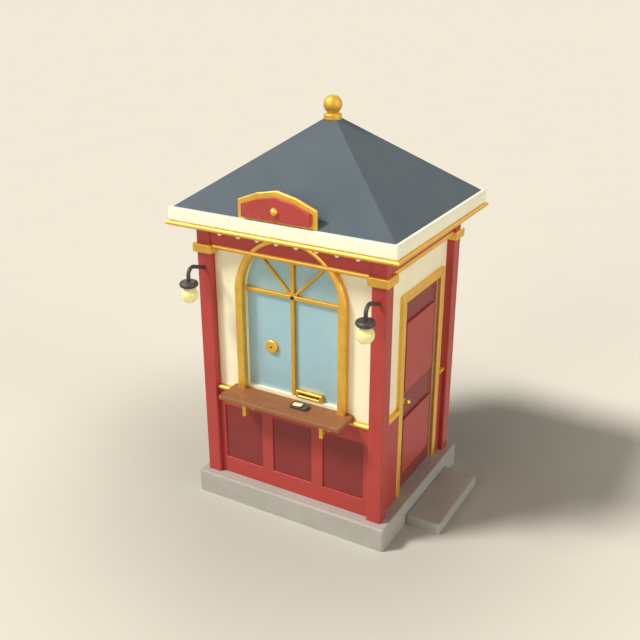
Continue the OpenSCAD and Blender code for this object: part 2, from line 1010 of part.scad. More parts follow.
// Bevelled disc with a speaking hole, on the front of the glass
module speaking_disc() {
    bevel = disc_t / 2;
    color(trim_gold)
        on_side(front_turn, inner_y)
            translate([-disc_offset, -glass_face, sill_z + disc_rise])
                rotate([90, 0, 0])
                    rotate_extrude()
                        polygon([
                            [speak_r, 0], [disc_r, 0], [disc_r, disc_t - bevel],
                            [disc_r - bevel, disc_t], [speak_r, disc_t]
                        ]);
}

// Frame of the ticket slot, on the sill in front of the glass
module ticket_slot() {
    bevel = slot_frame_d / 5;
    color(trim_gold)
        on_side(front_turn, inner_y)
            difference() {
                translate([slot_offset, -glass_face, slot_z()])
                    rotate([90, 0, 0])
                        crowned_block(slot_frame_w, slot_frame_h, slot_frame_d, bevel);
                outwards(0, wall_t + slot_frame_d)
                    translate([slot_offset, slot_z()])
                        square([slot_w, slot_h], center = true);
            }
}

module counter() {
    color(counter_brown)
        on_side(front_turn, inner_y + wall_t)
            translate([0, -counter_d / 2, counter_z + counter_t / 2])
                chamfer_block(counter_l, counter_d, counter_t, counter_chamfer);
}

// Two knee brackets from the dado up to the counter, notched over the chair rail, each with a cove underneath
module counter_brackets() {
    foot = counter_z - bracket_h;
    cove_place = dado_t + bracket_d / 2;
    notch = wall_t + chair_rail_d + fit;
    color(trim_gold)
        on_side(front_turn, inner_y)
            for (side = [-1, 1])
                translate([side * bracket_gap / 2, 0, 0])
                    difference() {
                        box(
                            [-bracket_t / 2, -dado_t - bracket_d, foot],
                            [bracket_t / 2, -dado_t, counter_z]
                        );
                        along_x(bracket_t + overrun)
                            translate([-cove_place, foot])
                                circle(r = bracket_cove_r);
                        box(
                            [-bracket_t, -notch, dado_top - fit],
                            [bracket_t, 0, counter_z + overrun]
                        );
                    }
}

module coin_tray() {
    rim = tray_r / 2;
    color(iron_black)
        on_side(front_turn, inner_y + wall_t)
            translate([tray_offset, -tray_reach, counter_top])
                difference() {
                    linear_extrude(height = tray_h)
                        rounded_rect(tray_l, tray_w, tray_r);
                    translate([0, 0, tray_h - tray_dish])
                        linear_extrude(height = tray_dish + overrun)
                            rounded_rect(tray_l - 2 * rim, tray_w - 2 * rim, tray_r - rim);
                }
}

// Bent arm from the post: a sloping pipe, an elbow, and a drop to the cap
module lamp_arms() {
    bend_turn = 90 + lamp_slope;
    straight = lamp_reach - bend_r - bend_r * sin(lamp_slope);
    bend_z = straight * tan(lamp_slope) - bend_r * cos(lamp_slope);
    drop = bend_z + arm_over_cap - cap_h / 2;
    lead = arm_r * 2;
    color(iron_black)
        both_lamps() {
            difference() {
                rotate([0, 90 - lamp_slope, 0])
                    translate([0, 0, -lead])
                        cylinder(r = arm_r, h = lead + straight / cos(lamp_slope) + elbow_lap);
                box([-lead * 2, -lead, -lead * 2], [0, lead, lead * 2]);
            }
            translate([lamp_reach - bend_r, 0, bend_z])
                rotate([90, 0, 0])
                    rotate_extrude(angle = bend_turn)
                        translate([bend_r, 0])
                            circle(r = arm_r * elbow_share);
            translate([lamp_reach, 0, bend_z - drop])
                cylinder(r = arm_r, h = drop + elbow_lap);
        }
}

module lamp_caps() {
    nose = cap_h / 2;
    color(iron_black)
        both_lamps()
            translate([lamp_reach, 0, -arm_over_cap]) {
                cylinder(r = cap_r - nose, h = cap_h, center = true);
                rotate_extrude()
                    translate([cap_r - nose, 0])
                        circle(r = nose);
            }
}

module lamp_bulbs() {
    neck = lamp_bulb_drop;
    color(bulb_yellow)
        both_lamps()
            translate([lamp_reach, 0, -arm_over_cap - cap_h / 2 - lamp_bulb_drop])
                intersection() {
                    union() {
                        sphere(r = lamp_bulb_r);
                        cylinder(r = lamp_neck_r, h = neck);
                    }
                    translate([0, 0, neck - lamp_bulb_r * 2])
                        cylinder(r = lamp_bulb_r + overrun, h = lamp_bulb_r * 2);
                }
}

// A row of bulbs on the front frieze; those over the arch are seated on the window frame
module frieze_bulbs() {
    z = frieze_z + bulb_rise;
    color(bulb_yellow)
        on_side(front_turn, inner_y)
            for (i = [0 : bulb_count - 1]) {
                x = (i + 0.5 - bulb_count / 2) * bulb_pitch;
                from_arch = norm([x, z - spring_z]);
                on_frame = from_arch < arch_r + frame_w + socket_r && from_arch > arch_r - socket_r;
                seat = on_frame ? frame_face : frieze_face;
                translate([x, 0, z])
                    rotate([90, 0, 0]) {
                        translate([0, 0, seat])
                            cylinder(r = socket_r, h = frieze_face + bulb_reach - seat);
                        translate([0, 0, frieze_face + bulb_reach])
                            intersection() {
                                sphere(r = bulb_r);
                                translate([0, 0, seat - frieze_face - bulb_reach])
                                    cylinder(r = bulb_r, h = bulb_r * 3);
                            }
                    }
            }
}

// Two legs, and a head that lies over both of them
module door_casing() {
    leg_h = door_h - mitre_gap;
    leg_place = (door_w + casing_w) / 2;
    color(trim_gold)
        on_side(right_turn, inner_x + wall_t)
            translate([door_offset, 0, floor_z])
                rotate([90, 0, 0]) {
                    for (side = [-1, 1])
                        translate([side * leg_place, leg_h / 2, 0])
                            crowned_block(casing_w, leg_h, casing_d, casing_chamfer);
                    translate([0, door_h + casing_w / 2, 0])
                        crowned_block(door_w + 2 * casing_w, casing_w, casing_d, casing_chamfer);
                }
}

module door_leaf() {
    color(deep_red)
        on_side(right_turn, inner_x)
            box([leaf_free, -leaf_face, leaf_foot], [leaf_hinge, -leaf_back, leaf_foot + leaf_h]);
}

// Two raised panels on the outside of the leaf
module door_panels() {
    panel_w = leaf_w - 2 * door_margin;
    middle = (leaf_free + leaf_hinge) / 2;
    color(post_red)
        on_side(right_turn, inner_x)
            for (panel = [[low_panel_foot, low_panel_h], [high_panel_foot, high_panel_h]])
                translate([middle, -leaf_face, leaf_foot + panel[0] + panel[1] / 2])
                    rotate([90, 0, 0])
                        crowned_block(panel_w, panel[1], door_panel_t, door_panel_chamfer);
}

// Ball knob on a neck and a rose
module door_knob() {
    color(trim_gold)
        on_side(right_turn, inner_x)
            translate([leaf_free + knob_inset, -leaf_face, leaf_foot + knob_rise])
                rotate([90, 0, 0]) {
                    cylinder(r = knob_r * rose_r_share, h = rose_t);
                    cylinder(r = knob_r * knob_neck_share, h = knob_reach);
                    translate([0, 0, knob_reach])
                        sphere(r = knob_r);
                }
}

// Wall half of each hinge: plate, lower knuckle and the pin that stands in it
module hinge_pins() {
    plate_face = -hinge_axis_reach;
    color(trim_gold)
        each_hinge() {
            translate([0, 0, -knuckle_l])
                cylinder(r = hinge_r, h = knuckle_l);
            cylinder(r = pin_r, h = knuckle_gap + knuckle_l);
            box(
                [0, -plate_face, -knuckle_l],
                [hinge_side_gap / 2 + hinge_plate_w, -plate_face + hinge_plate_t, 0]
            );
        }
}

// Leaf half of each hinge: plate and the upper knuckle, bored for the pin
module hinge_knuckles() {
    plate_face = leaf_back - hinge_axis_reach;
    color(trim_gold)
        each_hinge()
            translate([0, 0, knuckle_gap])
                difference() {
                    union() {
                        cylinder(r = hinge_r, h = knuckle_l);
                        box(
                            [-hinge_side_gap / 2 - hinge_plate_w, -plate_face, 0],
                            [0, -plate_face + hinge_plate_t, knuckle_l]
                        );
                    }
                    translate([0, 0, -overrun])
                        cylinder(r = pin_r + pin_clearance, h = knuckle_l + 2 * overrun);
                }
}

plinth();
door_step();
post_front_left();
post_front_right();
post_back_left();
post_back_right();
post_capitals();
corner_blocks();
front_dado();
left_dado();
back_dado();
right_dado();
dado_panels();
chair_rail();
front_wall();
left_wall();
back_wall();
right_wall_sides();
right_wall_head();
frieze_boards();
architrave_rail();
eaves_soffit();
cornice_bead();
fascia();
roof();
finial();
sign_board();
sign_panel();
sign_boss();
window_frame();
window_glass();
speaking_disc();
ticket_slot();
counter();
counter_brackets();
coin_tray();
lamp_arms();
lamp_caps();
lamp_bulbs();
frieze_bulbs();
door_casing();
door_leaf();
door_panels();
door_knob();
hinge_pins();
hinge_knuckles();
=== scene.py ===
"""Looks of a street ticket kiosk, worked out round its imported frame.

Every new surface is a profile carried along a path, or a stack of outlines, worked out with numpy
in metres where the frame says. Paint, gilding, stone, timber and glass are procedural finishes.
The file is laid out as a Blender add-on and is run as a script.
"""

import math
from collections import namedtuple

import bpy
import numpy as np
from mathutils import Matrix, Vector


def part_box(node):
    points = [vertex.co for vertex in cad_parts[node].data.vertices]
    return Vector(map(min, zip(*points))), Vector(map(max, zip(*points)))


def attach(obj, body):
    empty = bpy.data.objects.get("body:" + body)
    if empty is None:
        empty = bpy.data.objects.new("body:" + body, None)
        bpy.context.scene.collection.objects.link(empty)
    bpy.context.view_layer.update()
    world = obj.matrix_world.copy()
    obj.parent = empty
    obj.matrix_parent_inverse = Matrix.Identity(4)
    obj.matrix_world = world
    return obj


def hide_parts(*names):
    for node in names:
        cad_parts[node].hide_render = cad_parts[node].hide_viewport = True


bl_info = {
    "name": "Street ticket kiosk",
    "version": (1, 0, 0),
    "blender": (4, 5, 0),
    "location": "View3D > Sidebar > Kiosk",
    "description": "Dresses the packed frame of a street ticket kiosk",
    "category": "Object",
}

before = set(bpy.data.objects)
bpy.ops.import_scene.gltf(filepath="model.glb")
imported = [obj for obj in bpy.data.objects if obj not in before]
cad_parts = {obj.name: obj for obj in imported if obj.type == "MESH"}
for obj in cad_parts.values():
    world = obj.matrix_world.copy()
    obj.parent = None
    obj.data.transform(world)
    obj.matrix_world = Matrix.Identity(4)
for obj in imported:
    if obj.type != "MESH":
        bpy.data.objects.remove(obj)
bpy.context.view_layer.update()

BOOTH = "kiosk"
DOOR = "door"

# Steps of a quarter round, of a full turn, and the angle past which an edge stays sharp
ARC_STEPS = 5
TURN_STEPS = 48
SHARP_ANGLE = math.radians(35)
# A corner's round over the ease of the face inside it, and a nose's round over its rail's height
CORNER_SHARE = 1.2
NOSE_SHARE = 0.49
# Angles where a turned ball and a small dome end, just short of their poles, and the radius of the
# flat that is left in the middle of a turned face
BALL_POLE = math.pi / 2 - 0.01
DOME_POLE = math.pi / 2 - 0.02
FLAT_R = 0.002
# A quarter round of radius 1: its angles, how far it has come in, how far it has left to rise, and
# its edge marks
QUARTER = np.linspace(0, math.pi / 2, ARC_STEPS + 1)
COME_IN, LEFT_TO_RISE, QUARTER_MARKS = 1 - np.cos(QUARTER), 1 - np.sin(QUARTER), np.sin(2 * QUARTER)


def linear(red, green, blue):
    """Colour as light, from the 0 to 255 levels that a screen shows.

    With c as a share of 255 it is ((c + 0.055) / 1.055) ^ 2.4, or c / 12.92 near black.
    """
    c = np.array([red, green, blue]) / 255
    return tuple(np.where(c <= 0.04045, c / 12.92, ((c + 0.055) / 1.055) ** 2.4))


def shade(colour, factor):
    """A colour made lighter or darker, with full opacity."""
    return (*(min(1.0, channel * factor) for channel in colour), 1.0)


# Surfaces

Surface = namedtuple("Surface", "points quads caps marks")

# Axes of a drawn outline: its two directions and the way that it rises
PLAN = np.array([[1, 0, 0], [0, 1, 0], [0, 0, 1]], float)
FACE = np.array([[1, 0, 0], [0, 0, 1], [0, -1, 0]], float)
SIDE = np.array([[0, 1, 0], [0, 0, 1], [1, 0, 0]], float)

# Turns that carry what is drawn for the front to each wall
FRONT_TURN, DOOR_TURN, BACK_TURN, LEFT_TURN = 0.0, math.pi / 2, math.pi, -math.pi / 2


def facing(turn):
    """Axes of the wall that looks outwards after a turn about Z: the front's axes, turned."""
    c, s = round(math.cos(turn)), round(math.sin(turn))
    return FACE @ np.array([[c, s, 0], [-s, c, 0], [0, 0, 1]], float)


def rectangle(low, high):
    """Corners of a rectangle, against the clock from its lowest corner."""
    return np.array([[low[0], low[1]], [high[0], low[1]], [high[0], high[1]], [low[0], high[1]]], float)


def plain(corners):
    """An outline or path with no rounds: its corners, with an edge mark of zero."""
    corners = np.asarray(corners, float)
    return np.concatenate([corners, np.zeros((len(corners), 1))], 1)


def rounded(corners, radius, steps=ARC_STEPS):
    """Outline whose corners are arcs, or single points where the radius is zero.

    An arc's middle lies on the corner's bisector at radius / sin(half angle), and the arc turns from
    the edge before to the edge after. The third column marks the depth into the arc, sin(pi t).
    """
    corners = np.asarray(corners, float)
    radius = np.broadcast_to(np.asarray(radius, float), len(corners))[:, None]
    back = np.roll(corners, 1, 0) - corners
    ahead = np.roll(corners, -1, 0) - corners
    back /= np.linalg.norm(back, axis=1, keepdims=True)
    ahead /= np.linalg.norm(ahead, axis=1, keepdims=True)
    half = np.arccos(np.clip((back * ahead).sum(1, keepdims=True), -1, 1)) / 2
    bisector = back + ahead
    bisector /= np.linalg.norm(bisector, axis=1, keepdims=True)
    middle = corners + bisector * radius / np.sin(half)
    spoke = corners + back * radius / np.tan(half) - middle
    side = np.sign(back[:, 1:] * ahead[:, :1] - back[:, :1] * ahead[:, 1:])
    share = np.linspace(0, 1, steps + 1)
    angle = side * (math.pi - 2 * half) * share
    x = middle[:, :1] + spoke[:, :1] * np.cos(angle) - spoke[:, 1:] * np.sin(angle)
    y = middle[:, 1:] + spoke[:, :1] * np.sin(angle) + spoke[:, 1:] * np.cos(angle)
    marks = np.broadcast_to(np.sin(math.pi * share), x.shape)
    keep = (radius > 0) | (share == 0)
    return np.stack([x, y, marks], -1)[keep]


def arc(middle, radius, start, end, steps):
    """Points of an arc: middle + radius (cos a, sin a) for a from start to end."""
    angle = np.linspace(start, end, steps + 1)
    return np.stack([middle[0] + radius * np.cos(angle), middle[1] + radius * np.sin(angle)], -1)


def circle(radius, middle=(0.0, 0.0)):
    """A full turn of an arc, as a closed outline."""
    return plain(arc(middle, radius, 0, 2 * math.pi, TURN_STEPS)[:-1])


def mitres(path, loop):
    """Moves that carry every edge of a path sideways by one: (m + n) / (1 + m . n), where m and n are
    the normals of the edges before and after a point."""
    step = np.roll(path, -1, 0) - path
    if not loop:
        step[-1] = step[-2]
    step /= np.linalg.norm(step, axis=1, keepdims=True)
    after = np.stack([step[:, 1], -step[:, 0]], -1)
    before = np.roll(after, 1, 0)
    if not loop:
        before[0] = after[0]
    return (before + after) / (1 + (before * after).sum(1, keepdims=True))


def grown(outline, by):
    """An outline moved outwards along its mitres."""
    return np.concatenate([outline[:, :2] + by * mitres(outline[:, :2], True), outline[:, 2:]], 1)


def stitched(grid, marks, axes, origin, loop, ring):
    """Joins a grid of points into quads, closed along the path (loop) or the profile (ring), with a
    cap on each end that stays open."""
    rows, cols = grid.shape[:2]
    row, col = np.meshgrid(np.arange(rows - (not ring)), np.arange(cols - (not loop)), indexing="ij")
    up, on = (row + 1) % rows, (col + 1) % cols
    corners = [row * cols + col, row * cols + on, up * cols + on, up * cols + col]
    index = np.arange(rows * cols).reshape(rows, cols)
    caps = []
    if loop and not ring:
        caps = [index[0, ::-1], index[-1]]
    if ring and not loop:
        caps = [index[:, 0], index[::-1, -1]]
    points = grid.reshape(-1, 3) @ axes + np.asarray(origin, float)
    return Surface(points, np.stack(corners, -1).reshape(-1, 4), caps, marks.reshape(-1))


def carried(profile, path, axes=PLAN, origin=(0, 0, 0), loop=True, ring=False):
    """A profile carried along a path: P(i, j) = path(j) + offset(i) mitre(j), raised by height(i)."""
    spot = path[None, :, :2] + profile[:, None, :1] * mitres(path[:, :2], loop)[None]
    rise = np.broadcast_to(profile[:, None, 1:2], (*spot.shape[:2], 1))
    marks = np.maximum(profile[:, None, 2], path[None, :, 2])
    return stitched(np.concatenate([spot, rise], -1), marks, axes, origin, loop, ring)


def stacked(outlines, heights, axes=PLAN, origin=(0, 0, 0), ring=False, marks=None):
    """Outlines with as many points each, stacked at their heights: P(i, j) = outline_i(j) at height_i."""
    spot = np.stack([outline[:, :2] for outline in outlines])
    rise = np.broadcast_to(np.asarray(heights, float)[:, None, None], (*spot.shape[:2], 1))
    edge = np.stack([outline[:, 2] for outline in outlines])
    if marks is not None:
        edge = np.maximum(edge, np.asarray(marks, float)[:, None])
    return stitched(np.concatenate([spot, rise], -1), edge, axes, origin, True, ring)


def turned(profile, axes=PLAN, origin=(0, 0, 0)):
    """A profile of radius and height turned on a lathe: P(i, j) = radius(i) (cos a_j, sin a_j)."""
    profile = np.asarray(profile, float)
    outlines = circle(1.0)[None] * profile[:, :1, None] * np.array([1, 1, 0])
    return stacked(list(outlines), profile[:, 1], axes, origin)


def crowned(height, top=0.0, foot=0.0):
    """Side of a block from foot to top, as offset, height and edge mark.

    Each eased end is a quarter round: the offset falls by r (1 - cos a) while the height gains r sin a.
    """
    quarter = np.stack([-COME_IN, np.sin(QUARTER), QUARTER_MARKS], -1)
    base = quarter[::-1] * [foot, -foot, 1] + [0, foot, 0] if foot else np.zeros((1, 3))
    crown = quarter * [top, top, 1] + [0, height - top, 0] if top else np.array([[0, height, 0]])
    return np.concatenate([base, crown])


def block(low, high, ease, corner, foot=0.0):
    """Upright block between two corners, with round upright edges and an eased top."""
    outline = rounded(rectangle(low[:2], high[:2]), corner)
    return carried(crowned(high[2] - low[2], ease, foot), outline, PLAN, (0, 0, low[2]))


def board(low, high, reach, ease, turn, corner=0.0):
    """Board on a wall: a rectangle along and up it, from one reach out to another, eased in front."""
    outline = rounded(rectangle(low, high), corner)
    return carried(crowned(reach[1] - reach[0], ease) + [0, reach[0], 0], outline, facing(turn))


def nosed(low, high, wall, reach):
    """Section of a rail with a half-round nose: height up the wall, then reach out of it."""
    nose = (high - low) * NOSE_SHARE
    return rounded(rectangle((low, wall), (high, reach)), [0, 0, nose, nose])


def rail(section, start, end, turn):
    """A section carried straight along a wall."""
    return carried(section, plain([[end, 0], [start, 0]]), facing(turn), loop=False, ring=True)


def add_piece(name, surfaces, finish, body=BOOTH, replaces=()):
    """Joins surfaces into one mesh, smooth but for its square edges, and puts it on its body."""
    starts = np.cumsum([0] + [len(surface.points) for surface in surfaces])
    faces = []
    for start, surface in zip(starts, surfaces):
        faces += (surface.quads + start).tolist()
        faces += [(cap + start).tolist() for cap in surface.caps]
    mesh = bpy.data.meshes.new(name)
    mesh.from_pydata(np.concatenate([surface.points for surface in surfaces]).tolist(), [], faces)
    edge = mesh.attributes.new("edge", "FLOAT", "POINT")
    edge.data.foreach_set("value", np.concatenate([s.marks for s in surfaces]).astype(np.float32))
    mesh.shade_smooth()
    mesh.set_sharp_from_angle(angle=SHARP_ANGLE)
    mesh.materials.append(finish)
    piece = bpy.data.objects.new(name, mesh)
    bpy.context.scene.collection.objects.link(piece)
    flats = piece.modifiers.new("flats_first", "WEIGHTED_NORMAL")
    flats.keep_sharp = True
    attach(piece, body)
    if replaces:
        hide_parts(*replaces)
    return piece


def dress(node, finish):
    """Gives a node of the frame a finish in place of its plain one."""
    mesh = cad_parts[node].data
    mesh.materials.clear()
    mesh.materials.append(finish)


def corners_of(node):
    """Lowest and highest corner of a node, as arrays."""
    low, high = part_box(node)
    return np.array(low), np.array(high)


# Places on the booth that several pieces share, read from the frame
POST_LOW, POST_HIGH = corners_of("post_front_right")
INNER_X, INNER_Y = POST_LOW[0], -POST_HIGH[1]
BODY_X, BODY_Y = POST_HIGH[0], -POST_LOW[1]
WALL_X, WALL_Y = -corners_of("left_wall")[0][0], corners_of("back_wall")[1][1]
CAPITAL_LOW, CAPITAL_HIGH = corners_of("post_capitals")
CAPITAL_OVER = CAPITAL_HIGH[0] - BODY_X
CASING_LOW, CASING_HIGH = corners_of("door_casing")
COUNTER_LOW, COUNTER_HIGH = corners_of("counter")
LEAF_LOW, LEAF_HIGH = corners_of("door_leaf")
GLASS_LOW, GLASS_HIGH = corners_of("window_glass")
FRAME_LOW, FRAME_HIGH = corners_of("window_frame")
ARCH_R = (GLASS_HIGH[0] - GLASS_LOW[0]) / 2
SPRING_Z = GLASS_HIGH[2] - ARCH_R
GLASS_FACE = -GLASS_LOW[1]


# Settings


def length(name, description, default):
    """A distance that a user may change."""
    return bpy.props.FloatProperty(
        name=name, description=description, default=default, min=0.0, subtype="DISTANCE", unit="LENGTH"
    )


def place(name, description, default):
    """A place along an axis that a user may change."""
    return bpy.props.FloatProperty(
        name=name, description=description, default=default, subtype="DISTANCE", unit="LENGTH"
    )


def paint(name, description, default):
    """A colour that a user may change."""
    return bpy.props.FloatVectorProperty(
        name=name, description=description, default=default, size=3, min=0.0, max=1.0, subtype="COLOR"
    )


def level(name, description, default):
    """A strength of light, where 1 shows a colour as it is written."""
    return bpy.props.FloatProperty(name=name, description=description, default=default, min=0.0)


def bearing(name, description, default):
    """An angle, given in degrees."""
    return bpy.props.FloatProperty(
        name=name, description=description, default=math.radians(default), subtype="ANGLE", unit="ROTATION"
    )


class KioskShape(bpy.types.PropertyGroup):
    """Rounds and small sizes that the frame doesn't give."""

    plinth_round: length("Plinth round", "Round on the edges of the plinth", 0.020)
    step_round: length("Step round", "Round on the edges of the door step", 0.013)
    post_round: length("Post round", "Round on the corners of the posts", 0.012)
    capital_round: length("Capital round", "Round on the edges of the capitals", 0.011)
    board_round: length("Board round", "Round on the edges of painted boards", 0.006)
    dado_stile: length("Dado stile", "Width of a stile between two dado panels", 0.117)
    dado_recess: length("Dado recess", "Depth of a dado panel behind its frame", 0.012)
    lip_round: length("Lip round", "Round on the edge of a dado frame round its panel", 0.004)
    fascia_round: length("Fascia round", "Round on the edges of the fascia", 0.014)
    fascia_thickness: length("Fascia thickness", "Thickness of the fascia boards", 0.034)
    bead_depth: length("Bead depth", "Depth of the cornice bead from its nose inwards", 0.054)
    hip_round: length("Hip round", "Round of the roof's hips at the eaves", 0.020)
    sign_round: length("Sign round", "Round on the edges of the sign", 0.011)
    frame_width: length("Frame width", "Width of the arched window frame", 0.074)
    frame_round: length("Frame round", "Round on the front edges of the frame's jambs", 0.010)
    crest_height: length("Crest height", "Height of the rounded crest of the frame's arch", 0.045)
    bar_width: length("Bar width", "Width of the mullion and the transom", 0.037)
    fan_width: length("Fan bar width", "Width of the bars that fan out in the arch", 0.025)
    bar_depth: length("Bar depth", "How far the bars stand out from the glass", 0.030)
    hub_radius: length("Hub radius", "Radius of the boss where the bars meet", 0.0175)
    slot_round: length("Slot round", "Round on the edges of the ticket slot's frame", 0.009)
    counter_round: length("Counter round", "Round on the edges of the counter board", 0.011)
    bracket_width: length("Bracket width", "Thickness of a counter bracket", 0.036)
    cove_radius: length("Cove radius", "Radius of the cove under a counter bracket", 0.052)
    slip_length: length("Slip length", "Length of the paper slip on the tray", 0.085)
    slip_width: length("Slip width", "Width of the paper slip on the tray", 0.058)
    casing_width: length("Casing width", "Width of the door casing", 0.077)
    casing_round: length("Casing round", "Round on the edges of the door casing", 0.011)
    panel_round: length("Door panel round", "Round on the edges of the door's raised panels", 0.006)


class KioskColours(bpy.types.PropertyGroup):
    """Colours of the finishes, as light."""

    red: paint("Red", "Paint of the posts, the dado frames and the frieze", linear(179, 62, 55))
    deep_red: paint("Deep red", "Paint of the dado panels and the door leaf", linear(135, 46, 43))
    cream: paint("Cream", "Paint of the walls", linear(252, 243, 208))
    ivory: paint("Ivory", "Paint of the fascia", linear(253, 248, 218))
    gold: paint("Gold", "Gilding of the trim", linear(243, 194, 79))
    slate: paint("Slate", "Coating of the roof sheets", linear(75, 88, 96))
    stone: paint("Stone", "Concrete of the plinth and the step", linear(177, 171, 159))
    glass: paint("Glass", "Tint of the window glass", linear(158, 195, 203))
    timber: paint("Timber", "Stained wood of the counter", linear(148, 97, 59))
    iron: paint("Iron", "Black iron of the lamps and the tray", linear(74, 70, 68))
    bulb: paint("Bulb", "Opal glass of the lamp bulbs", linear(228, 217, 150))
    frieze_bulb: paint("Frieze bulb", "Opal glass of the bulbs on the frieze", linear(240, 222, 188))
    # The hub's own black, and painted shade: the black dome over the speaking hole stands for the hole's
    # dark inside
    soot: paint("Soot", "Black of the hub and the hole_shade_dome", linear(30, 28, 28))
    paper: paint("Paper", "Paper of the slip on the tray", linear(252, 240, 190))
    # Painted shade: the floor's darker tone close round the booth, where the booth shades it
    floor_painted_shade: paint("Floor near", "Floor close round the booth", linear(201, 197, 181))
    backdrop: paint("Backdrop", "Floor and backdrop", linear(242, 232, 213))


class KioskStage(bpy.types.PropertyGroup):
    """Camera and light."""

    view_angle: bearing("View angle", "Field of view across the square picture", 40.0)
    azimuth: bearing("Azimuth", "Turn of the camera round the booth, from the front to its right", 29.8083)
    elevation: bearing("Elevation", "Height of the camera over the horizon", 23.2228)
    distance: length("Distance", "Distance of the camera from its aim", 8.0544)
    aim_y: place("Aim depth", "Aim of the camera along Y", -0.2205)
    aim_z: length("Aim height", "Height of the camera's aim", 1.7966)
    sky_level: level("Sky level", "Strength of the light from all round", 0.10)
    floor_half: length("Floor half width", "Half width of the floor", 150.0)


# What is set for each light, and each light's values, with its angles in degrees
TRAITS = {
    "level": (level, "Strength"),
    "azimuth": (bearing, "Turn from the front"),
    "elevation": (bearing, "Height over the horizon"),
    "spread": (bearing, "Angle filled in the sky"),
}
LIGHTS = {
    "key": (0.94, -48.0, 49.0, 13.0),
    "front": (0.20, -15.0, 18.0, 30.0),
    "side": (0.35, 84.0, 4.0, 20.0),
    "fill": (0.11, 80.0, 45.0, 40.0),
    "rim": (0.08, 205.0, 28.0, 25.0),
}


def light_settings():
    """One setting for each trait of each light."""
    return {
        f"{light}_{trait}": kind(f"{light} {trait}".capitalize(), f"{words}, for the {light} light", value)
        for light, values in LIGHTS.items()
        for (trait, (kind, words)), value in zip(TRAITS.items(), values)
    }


KioskStage.__annotations__.update(light_settings())


# Finishes


NUMBER, VECTOR = "NodeSocketFloat", "NodeSocketVector"


def put(tree, kind, operation=None, **values):
    """A new node with values for its inputs, which are named with underscores for spaces."""
    node = tree.nodes.new(kind)
    if operation:
        node.operation = operation
    for title, value in values.items():
        node.inputs[title.replace("_", " ")].default_value = value
    return node


def wire(tree, *links):
    """Links sockets in pairs, each from a source to a target."""
    for source, target in links:
        tree.links.new(source, target)


def effect_tree(name, inputs, outputs):
    """A shader node group with named sockets: the tree, what it is given and what it makes."""
    tree = bpy.data.node_groups.new(name, "ShaderNodeTree")
    for title, kind in inputs.items():
        tree.interface.new_socket(title, in_out="INPUT", socket_type=kind)
    for title in outputs:
        tree.interface.new_socket(title, in_out="OUTPUT", socket_type=NUMBER)
    return tree, put(tree, "NodeGroupInput").outputs, put(tree, "NodeGroupOutput").inputs


def brush_marks_effect():
    """Brush marks: noise drawn out along the stroke, spread to the full range."""
    inputs = {"Place": VECTOR, "Stroke": VECTOR, "Fineness": NUMBER}
    tree, given, made = effect_tree("brush_marks", inputs, ["Marks"])
    drawn = put(tree, "ShaderNodeVectorMath", "MULTIPLY")
    noise = put(tree, "ShaderNodeTexNoise", Detail=4.0, Roughness=0.6)
    spread = put(tree, "ShaderNodeMapRange", From_Min=0.3, From_Max=0.7)
    wire(
        tree,
        (given["Place"], drawn.inputs[0]),
        (given["Stroke"], drawn.inputs[1]),
        (drawn.outputs[0], noise.inputs["Vector"]),
        (given["Fineness"], noise.inputs["Scale"]),
        (noise.outputs[0], spread.inputs["Value"]),
        (spread.outputs[0], made["Marks"]),
    )
    return tree


def mottle_effect():
    """Soft mottle: broad noise with finer ones over it, spread to the full range."""
    tree, given, made = effect_tree("mottle", {"Place": VECTOR, "Fineness": NUMBER}, ["Mottle"])
    noise = put(tree, "ShaderNodeTexNoise", Detail=6.0, Roughness=0.55)
    spread = put(tree, "ShaderNodeMapRange", From_Min=0.32, From_Max=0.68)
    wire(
        tree,
        (given["Place"], noise.inputs["Vector"]),
        (given["Fineness"], noise.inputs["Scale"]),
        (noise.outputs[0], spread.inputs["Value"]),
        (spread.outputs[0], made["Mottle"]),
    )
    return tree


def edge_wear_effect():
    """Wear on rounded edges: the piece's edge mark, broken up by noise. On the window frame's crest the
    edge mark is a painted highlight.
    """
    tree, given, made = effect_tree("edge_wear", {"Place": VECTOR, "Amount": NUMBER}, ["Wear"])
    edge = put(tree, "ShaderNodeAttribute")
    edge.attribute_name = "edge"
    noise = put(tree, "ShaderNodeTexNoise", Scale=22.0, Detail=5.0)
    broken = put(tree, "ShaderNodeMapRange", From_Min=0.42, From_Max=0.66)
    worn = put(tree, "ShaderNodeMath", "MULTIPLY")
    amount = put(tree, "ShaderNodeMath", "MULTIPLY")
    wire(
        tree,
        (given["Place"], noise.inputs["Vector"]),
        (noise.outputs[0], broken.inputs["Value"]),
        (edge.outputs["Fac"], worn.inputs[0]),
        (broken.outputs[0], worn.inputs[1]),
        (worn.outputs[0], amount.inputs[0]),
        (given["Amount"], amount.inputs[1]),
        (amount.outputs[0], made["Wear"]),
    )
    return tree


def grit_effect():
    """Grit: small rounded cells of random tone, and how far a point lies from a cell's middle."""
    tree, given, made = effect_tree("grit", {"Place": VECTOR, "Fineness": NUMBER}, ["Tone", "Pits"])
    cells = put(tree, "ShaderNodeTexVoronoi")
    split = put(tree, "ShaderNodeSeparateColor")
    pits = put(tree, "ShaderNodeMapRange", From_Max=0.35)
    wire(
        tree,
        (given["Place"], cells.inputs["Vector"]),
        (given["Fineness"], cells.inputs["Scale"]),
        (cells.outputs["Color"], split.inputs[0]),
        (split.outputs[0], made["Tone"]),
        (cells.outputs["Distance"], pits.inputs["Value"]),
        (pits.outputs[0], made["Pits"]),
    )
    return tree


EFFECT_MAKERS = {
    "brush_marks": brush_marks_effect,
    "mottle": mottle_effect,
    "edge_wear": edge_wear_effect,
    "grit": grit_effect,
}


